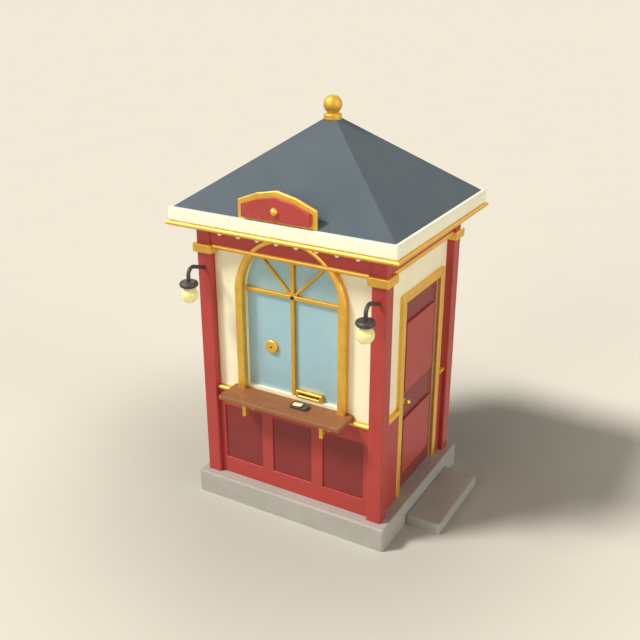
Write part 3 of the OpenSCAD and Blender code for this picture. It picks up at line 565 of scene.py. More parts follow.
class Finish:
    """A material being mixed round one Principled shader."""

    def __init__(self, name, **constants):
        self.material = bpy.data.materials.new(name)
        self.material.use_nodes = True
        self.tree = self.material.node_tree
        self.tree.nodes.clear()
        self.shader = self.add("ShaderNodeBsdfPrincipled")
        self.end = self.add("ShaderNodeOutputMaterial").inputs["Surface"]
        self.feed(self.end, self.shader.outputs["BSDF"])
        self.place = self.add("ShaderNodeTexCoord").outputs["Object"]
        self.set(**constants)

    def add(self, kind, operation=None, **values):
        """A new node of a kind, with values for its inputs."""
        return put(self.tree, kind, operation, **values)

    def feed(self, socket, value):
        """Links a socket to another, or sets its value."""
        if isinstance(value, bpy.types.NodeSocket):
            self.tree.links.new(value, socket)
        else:
            socket.default_value = value

    def set(self, **sockets):
        """Feeds the shader's sockets, named with underscores for spaces."""
        for name, value in sockets.items():
            self.feed(self.shader.inputs[name.replace("_", " ")], value)

    def done(self, colour, roughness, normal):
        """Feeds what every finish has, and returns the material."""
        self.set(Base_Color=colour, Roughness=roughness, Normal=normal)
        return self.material

    def effect(self, name, **sockets):
        """Places a shared effect, made on its first use, and returns what it makes."""
        node = self.add("ShaderNodeGroup")
        node.node_tree = bpy.data.node_groups.get(name) or EFFECT_MAKERS[name]()
        self.feed(node.inputs["Place"], self.place)
        for title, value in sockets.items():
            self.feed(node.inputs[title], value)
        return node.outputs

    def mottle(self, fineness):
        """Soft clouds from 0 to 1."""
        return self.effect("mottle", Fineness=fineness)["Mottle"]

    def marks(self, stroke, fineness):
        """Brush marks from 0 to 1."""
        return self.effect("brush_marks", Stroke=stroke, Fineness=fineness)["Marks"]

    def edge_wear_and_highlight(self, amount):
        """Wear on rounded edges, from 0 to an amount; on the window frame's crest it carries a painted
        highlight.
        """
        return self.effect("edge_wear", Amount=amount)["Wear"]

    def grit(self, fineness):
        """Tone and pits of small cells, both from 0 to 1."""
        cells = self.effect("grit", Fineness=fineness)
        return cells["Tone"], cells["Pits"]

    def mixed(self, low, high, mask):
        """Colour between two, by a mask."""
        node = self.add("ShaderNodeMix")
        node.data_type = "RGBA"
        for index, value in ((0, mask), (6, low), (7, high)):
            self.feed(node.inputs[index], value)
        return node.outputs[2]

    def toned(self, colour, low, high, mask):
        """One colour between two of its shades, by a mask."""
        return self.mixed(shade(colour, low), shade(colour, high), mask)

    def ranged(self, value, low, high):
        """A value from 0 to 1, spread from low to high."""
        node = self.add("ShaderNodeMapRange", To_Min=low, To_Max=high)
        self.feed(node.inputs["Value"], value)
        return node.outputs[0]

    def summed(self, first, second, weight):
        """One value plus a share of another."""
        node = self.add("ShaderNodeMath", "MULTIPLY_ADD")
        for index, value in enumerate((second, weight, first)):
            self.feed(node.inputs[index], value)
        return node.outputs[0]

    def bumped(self, height, depth):
        """A normal that follows a height, where depth is the full height in metres."""
        node = self.add("ShaderNodeBump", Distance=depth)
        self.feed(node.inputs["Height"], height)
        return node.outputs[0]


def once(maker):
    """Makes a finish on its first use and keeps it under its name after that."""

    def kept(name, *details):
        return bpy.data.materials.get(name) or maker(name, *details)

    return kept


# Strokes of a brush or of a grain: noise is drawn out along the direction with the small factor
UPRIGHT = (1.0, 1.0, 0.06)
LEVEL = (0.06, 0.06, 1.0)
GRAIN = (0.035, 1.0, 1.0)
RUNS = (1.0, 1.0, 0.5)
TOOLED = (1.0, 1.0, 0.3)
FIBRES = (0.4, 1.0, 1.0)
# Roughness of oil paint, and of the flatter paint on the walls
OIL_GLOSS, WALL_GLOSS = 0.42, 0.5
# Weight of the clear coat on gilding, the range of its roughness, and the satin kind's tone, darkened as
# painted shade for darker reflections, and its dullness
GILT_COAT = 0.25
GILT_ROUGH = np.array([0.30, 0.44])
SATIN_SHADE_TONE, SATIN_MATT = 0.82, 0.18
# What a worn edge's colour keeps of the paint's or the gilding's, and what is added to it; on the gilding
# this lighter colour is also the painted highlight along the window frame's crest
RUBBED_SHARE, RUBBED_LIFT = 0.8, 0.12
BRIGHT_SHARE, BRIGHT_LIFT = np.array([1.1, 1.1, 1.0]), np.array([0.05, 0.06, 0.08])


@once
def painted(name, colour, stroke, gloss=OIL_GLOSS):
    """Oil paint on timber: soft mottle, faint brush marks, and edges rubbed a little paler."""
    finish = Finish(name, Coat_Weight=0.12, Coat_Roughness=0.25, Specular_IOR_Level=0.4)
    marks, edge_wear_and_highlight = finish.marks(stroke, fineness=85.0), finish.edge_wear_and_highlight(amount=0.25)
    tone = finish.toned(colour, 0.95, 1.05, finish.mottle(fineness=3.2))
    brushed = finish.mixed(tone, shade(colour, 0.97), finish.ranged(marks, 0.0, 0.35))
    rubbed = np.array(colour) * RUBBED_SHARE + RUBBED_LIFT
    return finish.done(
        finish.mixed(brushed, shade(rubbed, 1.0), edge_wear_and_highlight),
        finish.ranged(finish.summed(marks, edge_wear_and_highlight, 0.5), gloss - 0.03, gloss + 0.05),
        finish.bumped(marks, depth=0.0002),
    )


@once
def gilded(name, colour, matt=0.0):
    """Gilding on moulded timber: warm metal with cloudy polish and the faintest tool marks.
    Marked edges turn to a lighter gold, as wear, and along the window frame's crest as a painted
    highlight.

    The roughness is lifted by the matt share, and the coat over the metal fades as it grows.
    """
    coat = max(GILT_COAT - matt, 0.0)
    finish = Finish(name, Metallic=0.75, Specular_IOR_Level=0.5, Coat_Weight=coat, Coat_Roughness=0.3)
    cloud, marks = finish.mottle(fineness=9.0), finish.marks(TOOLED, fineness=120.0)
    tone = finish.toned(colour, 0.93, 1.06, cloud)
    # Lighter gold on marked edges: wear, and on the window frame's crest a painted highlight
    bright = np.array(colour) * BRIGHT_SHARE + BRIGHT_LIFT
    return finish.done(
        finish.mixed(tone, shade(bright, 1.0), finish.edge_wear_and_highlight(amount=0.5)),
        finish.ranged(finish.summed(cloud, marks, 0.35), *(GILT_ROUGH + matt)),
        finish.bumped(marks, depth=0.0004),
    )


@once
def concrete(name, colour):
    """Cast concrete: clouded tone, sand grit, and small air holes."""
    finish = Finish(name, Specular_IOR_Level=0.75)
    sand, sand_pits = finish.grit(fineness=210.0)
    holes = finish.grit(fineness=46.0)[1]
    tone = finish.toned(colour, 0.94, 1.06, finish.mottle(fineness=4.5))
    grainy = finish.mixed(tone, shade(colour, 0.84), finish.ranged(sand, 0.0, 0.3))
    return finish.done(
        finish.mixed(grainy, shade(colour, 1.16), finish.edge_wear_and_highlight(amount=0.5)),
        finish.ranged(sand, 0.66, 0.86),
        finish.bumped(finish.summed(sand_pits, holes, 2.5), depth=0.0012),
    )


@once
def roof_sheet(name, colour):
    """Coated roof sheet: slate tone with a broad weathered cloud and a fine sanded grain."""
    finish = Finish(name, Specular_IOR_Level=0.9)
    cloud = finish.mottle(fineness=2.2)
    sand, pits = finish.grit(fineness=330.0)
    streaks = finish.marks(RUNS, fineness=14.0)
    tone = finish.toned(colour, 0.93, 1.06, cloud)
    run = finish.mixed(tone, shade(colour, 0.92), finish.ranged(streaks, 0.0, 0.35))
    sanded = finish.mixed(run, shade(colour, 1.18), finish.ranged(sand, 0.0, 0.22))
    return finish.done(
        finish.mixed(sanded, shade(colour, 1.3), finish.edge_wear_and_highlight(amount=0.35)),
        finish.ranged(cloud, 0.74, 0.90),
        finish.bumped(pits, depth=0.0007),
    )


@once
def stained_wood(name, colour):
    """Stained board: rings drawn out along its length, and fine pores."""
    finish = Finish(name, Specular_IOR_Level=0.35)
    bands, pores = finish.marks(GRAIN, fineness=26.0), finish.marks(GRAIN, fineness=190.0)
    tone = finish.toned(colour, 0.90, 1.10, bands)
    grain = finish.mixed(tone, shade(colour, 0.78), finish.ranged(pores, 0.0, 0.28))
    return finish.done(
        finish.mixed(grain, shade(colour, 1.45), finish.edge_wear_and_highlight(amount=0.55)),
        finish.ranged(pores, 0.48, 0.64),
        finish.bumped(finish.summed(pores, bands, 0.6), depth=0.0009),
    )


@once
def window_pane(name, colour):
    """Tinted opal glass: an even milky tint under a smooth, slightly wavy face."""
    finish = Finish(name, Specular_IOR_Level=0.55, Coat_Weight=0.5, Coat_Roughness=0.06)
    waves = finish.mottle(fineness=2.6)
    return finish.done(
        finish.toned(colour, 0.95, 1.04, waves),
        finish.ranged(finish.mottle(fineness=11.0), 0.10, 0.18),
        finish.bumped(waves, depth=0.0012),
    )


@once
def black_iron(name, colour):
    """Blacked iron: a hammered skin with soft clouds and edges rubbed bright."""
    finish = Finish(name, Metallic=0.25, Specular_IOR_Level=0.5)
    cloud = finish.mottle(fineness=16.0)
    return finish.done(
        finish.mixed(finish.toned(colour, 0.8, 1.2, cloud), shade(colour, 2.6), finish.edge_wear_and_highlight(amount=0.6)),
        finish.ranged(cloud, 0.38, 0.56),
        finish.bumped(finish.grit(fineness=120.0)[1], depth=0.0005),
    )


@once
def opal(name, colour, glow):
    """Opal bulb: faintly clouded milky glass that glows a little."""
    finish = Finish(
        name, Specular_IOR_Level=0.5, Coat_Weight=0.4, Coat_Roughness=0.08, Emission_Strength=glow
    )
    cloud = finish.mottle(fineness=24.0)
    tone = finish.toned(colour, 0.94, 1.03, cloud)
    finish.set(Base_Color=tone, Emission_Color=tone, Roughness=finish.ranged(cloud, 0.16, 0.30))
    return finish.material


@once
def paper(name, colour):
    """Card slip: a pale fibre fleck over an even tint."""
    finish = Finish(name, Specular_IOR_Level=0.25)
    fibres = finish.marks(FIBRES, fineness=420.0)
    return finish.done(
        finish.toned(colour, 0.94, 1.03, fibres),
        finish.ranged(fibres, 0.70, 0.86),
        finish.bumped(fibres, depth=0.0002),
    )


def red_upright(context):
    """Red paint brushed up and down."""
    return painted("red_oil_upright", context.scene.kiosk_colours.red, UPRIGHT)


def red_level(context):
    """Red paint brushed along a wall."""
    return painted("red_oil_level", context.scene.kiosk_colours.red, LEVEL)


def gold_trim(context):
    """Gilding of the mouldings."""
    return gilded("gilding", context.scene.kiosk_colours.gold)


def satin_trim(context):
    """Rougher, more matt gilding of the finial and the window bars, darkened as painted shade for darker
    reflections.
    """
    return gilded("satin_gilding", shade(context.scene.kiosk_colours.gold, SATIN_SHADE_TONE)[:3], SATIN_MATT)


# Pieces


class KIOSK_OT_stone(bpy.types.Operator):
    """Concrete plinth and door step with rounded edges"""

    bl_idname = "kiosk.stone"
    bl_label = "Plinth and step"
    bl_options = {"REGISTER", "UNDO"}

    def execute(self, context):
        shape = context.scene.kiosk_shape
        colours = context.scene.kiosk_colours
        finish = concrete("cast_concrete", colours.stone)
        for node, ease in (("plinth", shape.plinth_round), ("door_step", shape.step_round)):
            stone = block(*corners_of(node), ease, ease * CORNER_SHARE)
            add_piece(f"{node}_stone", [stone], finish, replaces=[node])
        return {"FINISHED"}


class KIOSK_OT_posts(bpy.types.Operator):
    """Corner posts, and the blocks over their capitals"""

    bl_idname = "kiosk.posts"
    bl_label = "Posts"
    bl_options = {"REGISTER", "UNDO"}

    def execute(self, context):
        shape = context.scene.kiosk_shape
        finish = red_upright(context)
        block_low, block_high = corners_of("corner_blocks")
        blocks = []
        for node in ("post_front_left", "post_front_right", "post_back_left", "post_back_right"):
            low, high = corners_of(node)
            post = block(low, high, 0, shape.post_round)
            add_piece(f"{node}_timber", [post], finish, replaces=[node])
            low[2], high[2] = block_low[2], block_high[2]
            blocks.append(block(low, high, 0, shape.post_round))
        add_piece("corner_blocks_timber", blocks, finish, replaces=["corner_blocks"])
        return {"FINISHED"}


class KIOSK_OT_capitals(bpy.types.Operator):
    """Gilded capitals that lap round the posts on to the walls beside them"""

    bl_idname = "kiosk.capitals"
    bl_label = "Capitals"
    bl_options = {"REGISTER", "UNDO"}

    def execute(self, context):
        shape = context.scene.kiosk_shape
        lip_x, lip_y = INNER_X - CAPITAL_OVER, INNER_Y - CAPITAL_OVER
        out_x, out_y = CAPITAL_HIGH[0], CAPITAL_HIGH[1]
        plan = np.array(
            [
                [lip_x, -out_y], [out_x, -out_y], [out_x, -lip_y], [WALL_X, -lip_y], [WALL_X, -INNER_Y],
                [INNER_X, -INNER_Y], [INNER_X, -WALL_Y], [lip_x, -WALL_Y],
            ]
        )
        ease = shape.capital_round
        rounds = np.array([1, 1, 1, 0, 0, 0, 0, 0]) * ease * CORNER_SHARE
        side = crowned(CAPITAL_HIGH[2] - CAPITAL_LOW[2], ease, ease)
        capitals = []
        for flip in ((1, 1), (-1, 1), (1, -1), (-1, -1)):
            order = flip[0] * flip[1]
            outline = rounded((plan * flip)[::order], rounds[::order])
            capitals.append(carried(side, outline, PLAN, (0, 0, CAPITAL_LOW[2])))
        gold = gold_trim(context)
        add_piece("capitals_gilt", capitals, gold, replaces=["post_capitals"])
        return {"FINISHED"}


def dado_bay(start, end, pocket_low, pocket_high, heights, reaches, ease, turn):
    """One bay of framed dado: a slab with a pocket sunk in its face, whose lip is a quarter round.

    The outlines are the slab behind and in front, then the pocket grown by r (1 - sin a) at a depth of
    r (1 - cos a), and the pocket's floor.
    """
    inner, face, floor = reaches
    slab = plain(rectangle((start, heights[0]), (end, heights[1])))
    pocket = plain(rectangle(pocket_low, pocket_high))
    lips = [grown(pocket, by) for by in ease * LEFT_TO_RISE]
    levels = [inner, face, *(face - ease * COME_IN), floor]
    marks = [0, 0, *QUARTER_MARKS, 0]
    return stacked([slab, slab, *lips, pocket], levels, facing(turn), marks=marks)


class KIOSK_OT_dado(bpy.types.Operator):
    """Framed dado with sunk panels on three walls, and plain dado beside the door"""

    bl_idname = "kiosk.dado"
    bl_label = "Dado"
    bl_options = {"REGISTER", "UNDO"}
    BAYS = 3

    def execute(self, context):
        shape = context.scene.kiosk_shape
        colours = context.scene.kiosk_colours
        red = red_level(context)
        deep = painted("deep_red_oil", colours.deep_red, UPRIGHT)
        panel_low, panel_high = corners_of("dado_panels")
        ease, recess = shape.lip_round, shape.dado_recess
        seat = panel_low[1] - corners_of("front_dado")[0][1]
        panels = []
        for node, turn, half, inner in (
            ("front_dado", FRONT_TURN, INNER_X, INNER_Y),
            ("back_dado", BACK_TURN, INNER_X, INNER_Y),
            ("left_dado", LEFT_TURN, INNER_Y, INNER_X),
        ):
            low, high = corners_of(node)
            face = inner + min(high[:2] - low[:2])
            edges = np.linspace(-half, half, self.BAYS + 1)
            bays = []
            for start, end in zip(edges[:-1], edges[1:]):
                left, right = start + shape.dado_stile / 2, end - shape.dado_stile / 2
                pocket = (left, panel_low[2]), (right, panel_high[2])
                reaches = inner, face, face - seat
                bays.append(dado_bay(start, end, *pocket, (low[2], high[2]), reaches, ease, turn))
                panels.append(board(*pocket, (face - seat, face - recess), 0, turn))
            add_piece(f"{node}_frame", bays, red, replaces=[node])
        add_piece("dado_panels_timber", panels, deep, replaces=["dado_panels"])
        low, high = corners_of("right_dado")
        beside = [
            board((start, low[2]), (end, high[2]), (INNER_X, high[0]), ease, DOOR_TURN)
            for start, end in ((-INNER_Y, CASING_LOW[1]), (CASING_HIGH[1], INNER_Y))
        ]
        add_piece("right_dado_boards", beside, red, replaces=["right_dado"])
        return {"FINISHED"}


class KIOSK_OT_mouldings(bpy.types.Operator):
    """Chair rail, architrave, cornice bead and fascia"""

    bl_idname = "kiosk.mouldings"
    bl_label = "Mouldings"
    bl_options = {"REGISTER", "UNDO"}
    FRIEZE_LAP = 0.006

    def execute(self, context):
        shape = context.scene.kiosk_shape
        colours = context.scene.kiosk_colours
        gold = gold_trim(context)
        walls = (
            (FRONT_TURN, INNER_X, WALL_Y),
            (BACK_TURN, INNER_X, WALL_Y),
            (LEFT_TURN, INNER_Y, WALL_X),
            (DOOR_TURN, INNER_Y, WALL_X),
        )
        low, high = corners_of("chair_rail")
        depth = high[0] - WALL_X
        spans = {DOOR_TURN: ((-INNER_Y, CASING_LOW[1]), (CASING_HIGH[1], INNER_Y))}
        rails = []
        for turn, half, wall in walls:
            section = nosed(low[2], high[2], wall, wall + depth)
            rails += [rail(section, *span, turn) for span in spans.get(turn, ((-half, half),))]
        add_piece("chair_rail_gilt", rails, gold, replaces=["chair_rail"])

        low, high = corners_of("architrave_rail")
        depth = high[0] - WALL_X
        rails = []
        for turn, half, wall in walls:
            section = nosed(low[2], high[2] + self.FRIEZE_LAP, wall, wall + depth)
            rails.append(rail(section, CAPITAL_OVER - half, half - CAPITAL_OVER, turn))
        add_piece("architrave_gilt", rails, gold, replaces=["architrave_rail"])

        low, high = corners_of("cornice_bead")
        nose = (high[2] - low[2]) * NOSE_SHARE
        section = rounded(rectangle((-shape.bead_depth, low[2]), (0, high[2])), [0, nose, nose, 0])
        bead = carried(section, plain(rectangle(low, high)), ring=True)
        add_piece("cornice_bead_gilt", [bead], gold, replaces=["cornice_bead"])
        self.fascia(shape, painted("ivory_oil", colours.ivory, LEVEL))
        return {"FINISHED"}

    def fascia(self, shape, ivory):
        """Boards round the eaves: the eased outer side stacked up, closed by a straight inner side."""
        low, high = corners_of("fascia")
        thick, ease = shape.fascia_thickness, shape.fascia_round
        side = crowned(high[2] - low[2], ease, ease)
        outer = rounded(rectangle(low, high), ease * CORNER_SHARE)
        inner = rounded(rectangle(low[:2] + thick, high[:2] - thick), ease)
        rings = [inner, *(grown(outer, by) for by in side[:, 0]), inner]
        heights = [low[2], *(low[2] + side[:, 1]), high[2]]
        boards = stacked(rings, heights, ring=True, marks=[0, *side[:, 2], 0])
        add_piece("fascia_boards", [boards], ivory, replaces=["fascia"])


class KIOSK_OT_walls(bpy.types.Operator):
    """Paint on the walls, the soffit and the frieze"""

    bl_idname = "kiosk.walls"
    bl_label = "Walls and frieze"
    bl_options = {"REGISTER", "UNDO"}

    def execute(self, context):
        colours = context.scene.kiosk_colours
        cream = painted("cream_oil", colours.cream, LEVEL, WALL_GLOSS)
        walls = ("front_wall", "left_wall", "back_wall", "right_wall_sides", "right_wall_head")
        for node in (*walls, "eaves_soffit"):
            dress(node, cream)
        dress("frieze_boards", red_level(context))
        return {"FINISHED"}


class KIOSK_OT_roof(bpy.types.Operator):
    """Pyramid roof with softly rounded hips"""

    bl_idname = "kiosk.roof"
    bl_label = "Roof"
    bl_options = {"REGISTER", "UNDO"}
    ROWS = 24
    TIP_SHARE = 0.006

    def execute(self, context):
        shape = context.scene.kiosk_shape
        colours = context.scene.kiosk_colours
        low, high = corners_of("roof")
        eaves = corners_of("fascia")[1][2]
        outline = rounded(rectangle(low, high), shape.hip_round)
        shrink = np.linspace(1, self.TIP_SHARE, self.ROWS)
        rings = [outline, *(outline * [by, by, 1] for by in shrink)]
        heights = [low[2], *(eaves + (1 - shrink) * (high[2] - eaves))]
        finish = roof_sheet("slate_coating", colours.slate)
        add_piece("roof_sheets", [stacked(rings, heights)], finish, replaces=["roof"])
        return {"FINISHED"}


class KIOSK_OT_finial(bpy.types.Operator):
    """Gilded ball on a thick rounded collar at the roof's apex"""

    bl_idname = "kiosk.finial"
    bl_label = "Finial"
    bl_options = {"REGISTER", "UNDO"}
    COLLAR_HEIGHT = 0.060
    COLLAR_RADIUS = 0.078
    COLLAR_RISE = 0.002
    COLLAR_ROUND = 0.016
    NECK_RADIUS = 0.046
    BALL_RADIUS = 0.081
    COLLAR_STEPS = 7
    BALL_STEPS = 28

    def execute(self, context):
        top = corners_of("finial")[1][2]
        apex = corners_of("roof")[1][2]
        nose, neck_r = self.COLLAR_ROUND, self.NECK_RADIUS
        collar_top = apex + self.COLLAR_RISE
        collar_foot = collar_top - self.COLLAR_HEIGHT
        ball_mid = top - self.BALL_RADIUS
        round_x = self.COLLAR_RADIUS - nose
        lower = arc((round_x, collar_foot + nose), nose, -math.pi / 2, 0, self.COLLAR_STEPS)
        upper = arc((round_x, collar_top - nose), nose, 0, math.pi / 2, self.COLLAR_STEPS)
        start = -math.acos(neck_r / self.BALL_RADIUS)
        ball = arc((0, ball_mid), self.BALL_RADIUS, start, BALL_POLE, self.BALL_STEPS)
        profile = np.concatenate([[[neck_r, collar_foot]], lower, upper, [[neck_r, collar_top]], ball])
        finish = satin_trim(context)
        add_piece("finial_gilt", [turned(profile)], finish, replaces=["finial"])
        return {"FINISHED"}


# Height of the sign's knee, as a share of the way from its shoulder to its crown
KNEE_SHARE = 0.66


def sign_corners(half, foot, shoulder, crown):
    """Outline of the sign: upright ends, then two slopes on each side up to the crown."""
    knee = shoulder + (crown - shoulder) * KNEE_SHARE
    return [
        [-half, foot], [half, foot], [half, shoulder], [half / 2, knee],
        [0, crown], [-half / 2, knee], [-half, shoulder],
    ]


class KIOSK_OT_sign(bpy.types.Operator):
    """Sign over the eaves: a gilded board, a plain red panel and a boss"""

    bl_idname = "kiosk.sign"
    bl_label = "Sign"
    bl_options = {"REGISTER", "UNDO"}
    # The shoulder's height as a share of the board's, and how far below it the panel's shoulder lies
    SHOULDER_SHARE = 159 / 273
    BORDER = 0.027
    DOME_STEPS = 12

    def execute(self, context):
        shape = context.scene.kiosk_shape
        gold = gold_trim(context)
        low, high = corners_of("sign_board")
        shoulder = low[2] + (high[2] - low[2]) * self.SHOULDER_SHARE
        ease = shape.sign_round
        outline = rounded(sign_corners(high[0], low[2], shoulder, high[2]), ease * CORNER_SHARE)
        side = crowned(high[1] - low[1], ease, ease) + [0, -high[1], 0]
        plate = carried(side, outline, FACE)
        add_piece("sign_board_gilt", [plate], gold, replaces=["sign_board"])

        low, high = corners_of("sign_panel")
        ease = shape.board_round
        corners = sign_corners(high[0], low[2], shoulder - self.BORDER, high[2])
        side = crowned(high[1] - low[1], ease) + [0, -high[1], 0]
        panel = carried(side, rounded(corners, ease * CORNER_SHARE), FACE)
        red = red_level(context)
        add_piece("sign_panel_timber", [panel], red, replaces=["sign_panel"])

        low, high = corners_of("sign_boss")
        dome = arc((0, 0), high[0], 0, BALL_POLE, self.DOME_STEPS)
        boss = turned(dome, FACE, (0, high[1], (low[2] + high[2]) / 2))
        add_piece("sign_boss_gilt", [boss], gold, replaces=["sign_boss"])
        return {"FINISHED"}


class KIOSK_OT_ticket_window(bpy.types.Operator):
    """Arched frame, glass, bars and hub, speaking disc and ticket slot"""

    bl_idname = "kiosk.ticket_window"
    bl_label = "Ticket window"
    bl_options = {"REGISTER", "UNDO"}
    SLOT_HALF = (0.103, 0.011)
    SLOT_CORNER = 0.003
    SPEAK_R = 0.008
    DISC_BEVEL_SHARE = 0.5
    DISC_EASE = 0.002
    # Radius of the black dome over the speaking hole, painted shade of the hole's dark inside, over the
    # hole's radius, and how far it and the hub are squashed
    HOLE_SHADE_SHARE = 1.3
    MOUTH_SQUASH, HUB_SQUASH = 0.35, 0.6
    HUB_SEAT = 0.003
    DOME_STEPS = 8
    # How far the transom and the slanting bars stay behind the mullion's face
    TRANSOM_BACK, FAN_BACK = 0.001, 0.004
    # Share of the arch over which its section turns from the jamb's to its own, and the power that narrows
    # the painted highlight line along its crest
    TURN_SHARE = 0.12
    CREST_HIGHLIGHT_POWER = 6

    def execute(self, context):
        shape = context.scene.kiosk_shape
        colours = context.scene.kiosk_colours
        gold = gold_trim(context)
        self.frame(shape, gold)
        dress("window_glass", window_pane("tinted_pane", colours.glass))
        self.bars(shape, satin_trim(context), colours)
        self.disc(gold, colours)
        self.slot(shape, gold)
        return {"FINISHED"}

    def frame(self, shape, gold):
        """Frame carried up one jamb, round the arch and down the other.

        The jambs' section is a board with rounded front edges and the arch's has an elliptical crest.
        Along the path the section is (1 - w) jamb + w arch, and w rises smoothly over the haunches.
        """
        wide, ease = shape.frame_width, shape.frame_round
        wall, front = -FRAME_HIGH[1], -FRAME_LOW[1]
        radius = FRAME_HIGH[0] - wide
        foot = FRAME_LOW[2]
        spring = FRAME_HIGH[2] - FRAME_HIGH[0]
        turn = np.linspace(0, 1, 2 * TURN_STEPS + 1)
        round_part = arc((0, spring), radius, 0, math.pi, 2 * TURN_STEPS)
        path = np.concatenate([[[radius, foot]], round_part, [[-radius, foot]]])
        rise = np.clip(np.minimum(turn, 1 - turn) / self.TURN_SHARE, 0, 1)
        weight = np.concatenate([[0], rise**2 * (3 - 2 * rise), [0]])[None, :, None]
        jamb = rounded(rectangle((0, wall), (wide, front)), [0, 0, ease, ease])
        a = np.linspace(0, math.pi, len(jamb) - 2)
        across, up = wide / 2 * (1 + np.cos(a)), front - shape.crest_height * (1 - np.sin(a))
        # Edge mark along the crest: a painted highlight, which the gilding turns into a lighter gold line
        crest = np.stack([across, up, np.sin(a) ** self.CREST_HIGHLIGHT_POWER], -1)
        arch = np.concatenate([jamb[:2], crest])
        section = (1 - weight) * jamb[:, None] + weight * arch[:, None]
        spot = path[None] + section[..., :1] * mitres(path, False)[None]
        grid = np.concatenate([spot, section[..., 1:2]], -1)
        bent = stitched(grid, section[..., 2], FACE, (0, 0, 0), False, True)
        add_piece("window_frame_gilt", [bent], gold, replaces=["window_frame"])

    def bars(self, shape, satin, colours):
        """Mullion, transom and two slanting bars on the glass, with a boss where they meet."""
        wide, thin = shape.bar_width / 2, shape.fan_width / 2
        ease = shape.board_round
        out = GLASS_FACE + shape.bar_depth
        side = math.sqrt(ARCH_R**2 - wide**2)
        top, reach = SPRING_Z + side, (GLASS_FACE, out)
        mullion = board((-wide, GLASS_LOW[2]), (wide, top), reach, ease, FRONT_TURN)
        reach = GLASS_FACE, out - self.TRANSOM_BACK
        transom = board((-side, SPRING_Z - wide), (side, SPRING_Z + wide), reach, ease, FRONT_TURN)
        depth = crowned(out - self.FAN_BACK - GLASS_FACE, ease) + [0, GLASS_FACE, 0]
        end = math.sqrt(ARCH_R**2 - thin**2)
        fan = []
        for lean in (math.pi / 4, 3 * math.pi / 4):
            along = np.array([math.cos(lean), math.sin(lean)])
            across = np.array([-along[1], along[0]])
            corners = rectangle((0, -thin), (end, thin)) @ np.array([along, across])
            fan.append(carried(depth, plain(corners + [0, SPRING_Z]), FACE))
        add_piece("window_bars_gilt", [mullion, transom, *fan], satin)
        radius = shape.hub_radius
        dome = arc((0, self.HUB_SEAT), radius, 0, DOME_POLE, self.DOME_STEPS)
        profile = np.concatenate([[[radius, 0]], dome]) * [1, self.HUB_SQUASH]
        hub = turned(profile, FACE, (0, -out, SPRING_Z))
        add_piece("window_hub", [hub], black_iron("sooted_iron", colours.soot))

    def disc(self, gold, colours):
        """Bevelled ring round the speaking hole, and a black dome over the hole as painted shade of its
        dark inside.
        """
        low, high = corners_of("speaking_disc")
        middle = ((low[0] + high[0]) / 2, 0, (low[2] + high[2]) / 2)
        wide = (high[0] - low[0]) / 2 - self.SPEAK_R
        thick = high[1] - low[1]
        rounds = [0, 0, thick * self.DISC_BEVEL_SHARE, self.DISC_EASE]
        section = rounded(rectangle((0, -high[1]), (wide, -low[1])), rounds)
        ring = carried(section, circle(self.SPEAK_R), FACE, middle, ring=True)
        add_piece("speaking_disc_gilt", [ring], gold, replaces=["speaking_disc"])
        # Black dome over the speaking hole: painted shade of the hole's dark inside
        dome = arc((0, 0), self.SPEAK_R * self.HOLE_SHADE_SHARE, 0, DOME_POLE, self.DOME_STEPS)
        hole_shade = turned(dome * [1, self.MOUTH_SQUASH], FACE, (middle[0], low[1], middle[2]))
        add_piece("speaking_mouth", [hole_shade], black_iron("sooted_iron", colours.soot))

    def slot(self, shape, gold):
        """Frame of the ticket slot: the outer outline stacked from back to front, then the inner one back.

        Both eased edges are quarter rounds of radius r: an outline moves by r (1 - cos a) or r (1 - sin a)
        while its height falls short of the front by the other.
        """
        low, high = corners_of("ticket_slot")
        middle = np.array([(low[0] + high[0]) / 2, (low[2] + high[2]) / 2])
        ease = shape.slot_round
        outer = rounded(rectangle(low[[0, 2]], high[[0, 2]]), ease * CORNER_SHARE)
        inner = rounded(rectangle(middle - self.SLOT_HALF, middle + self.SLOT_HALF), self.SLOT_CORNER)
        back, front = -high[1], -low[1]
        come, left = ease * COME_IN, ease * LEFT_TO_RISE
        outlines = [outer, *(grown(outer, -by) for by in come), *(grown(inner, by) for by in left), inner]
        heights = [back, *(front - left), *(front - come), back]
        marks = [0, *QUARTER_MARKS, *QUARTER_MARKS, 0]
        ring = stacked(outlines, heights, FACE, ring=True, marks=marks)
        add_piece("ticket_slot_gilt", [ring], gold, replaces=["ticket_slot"])


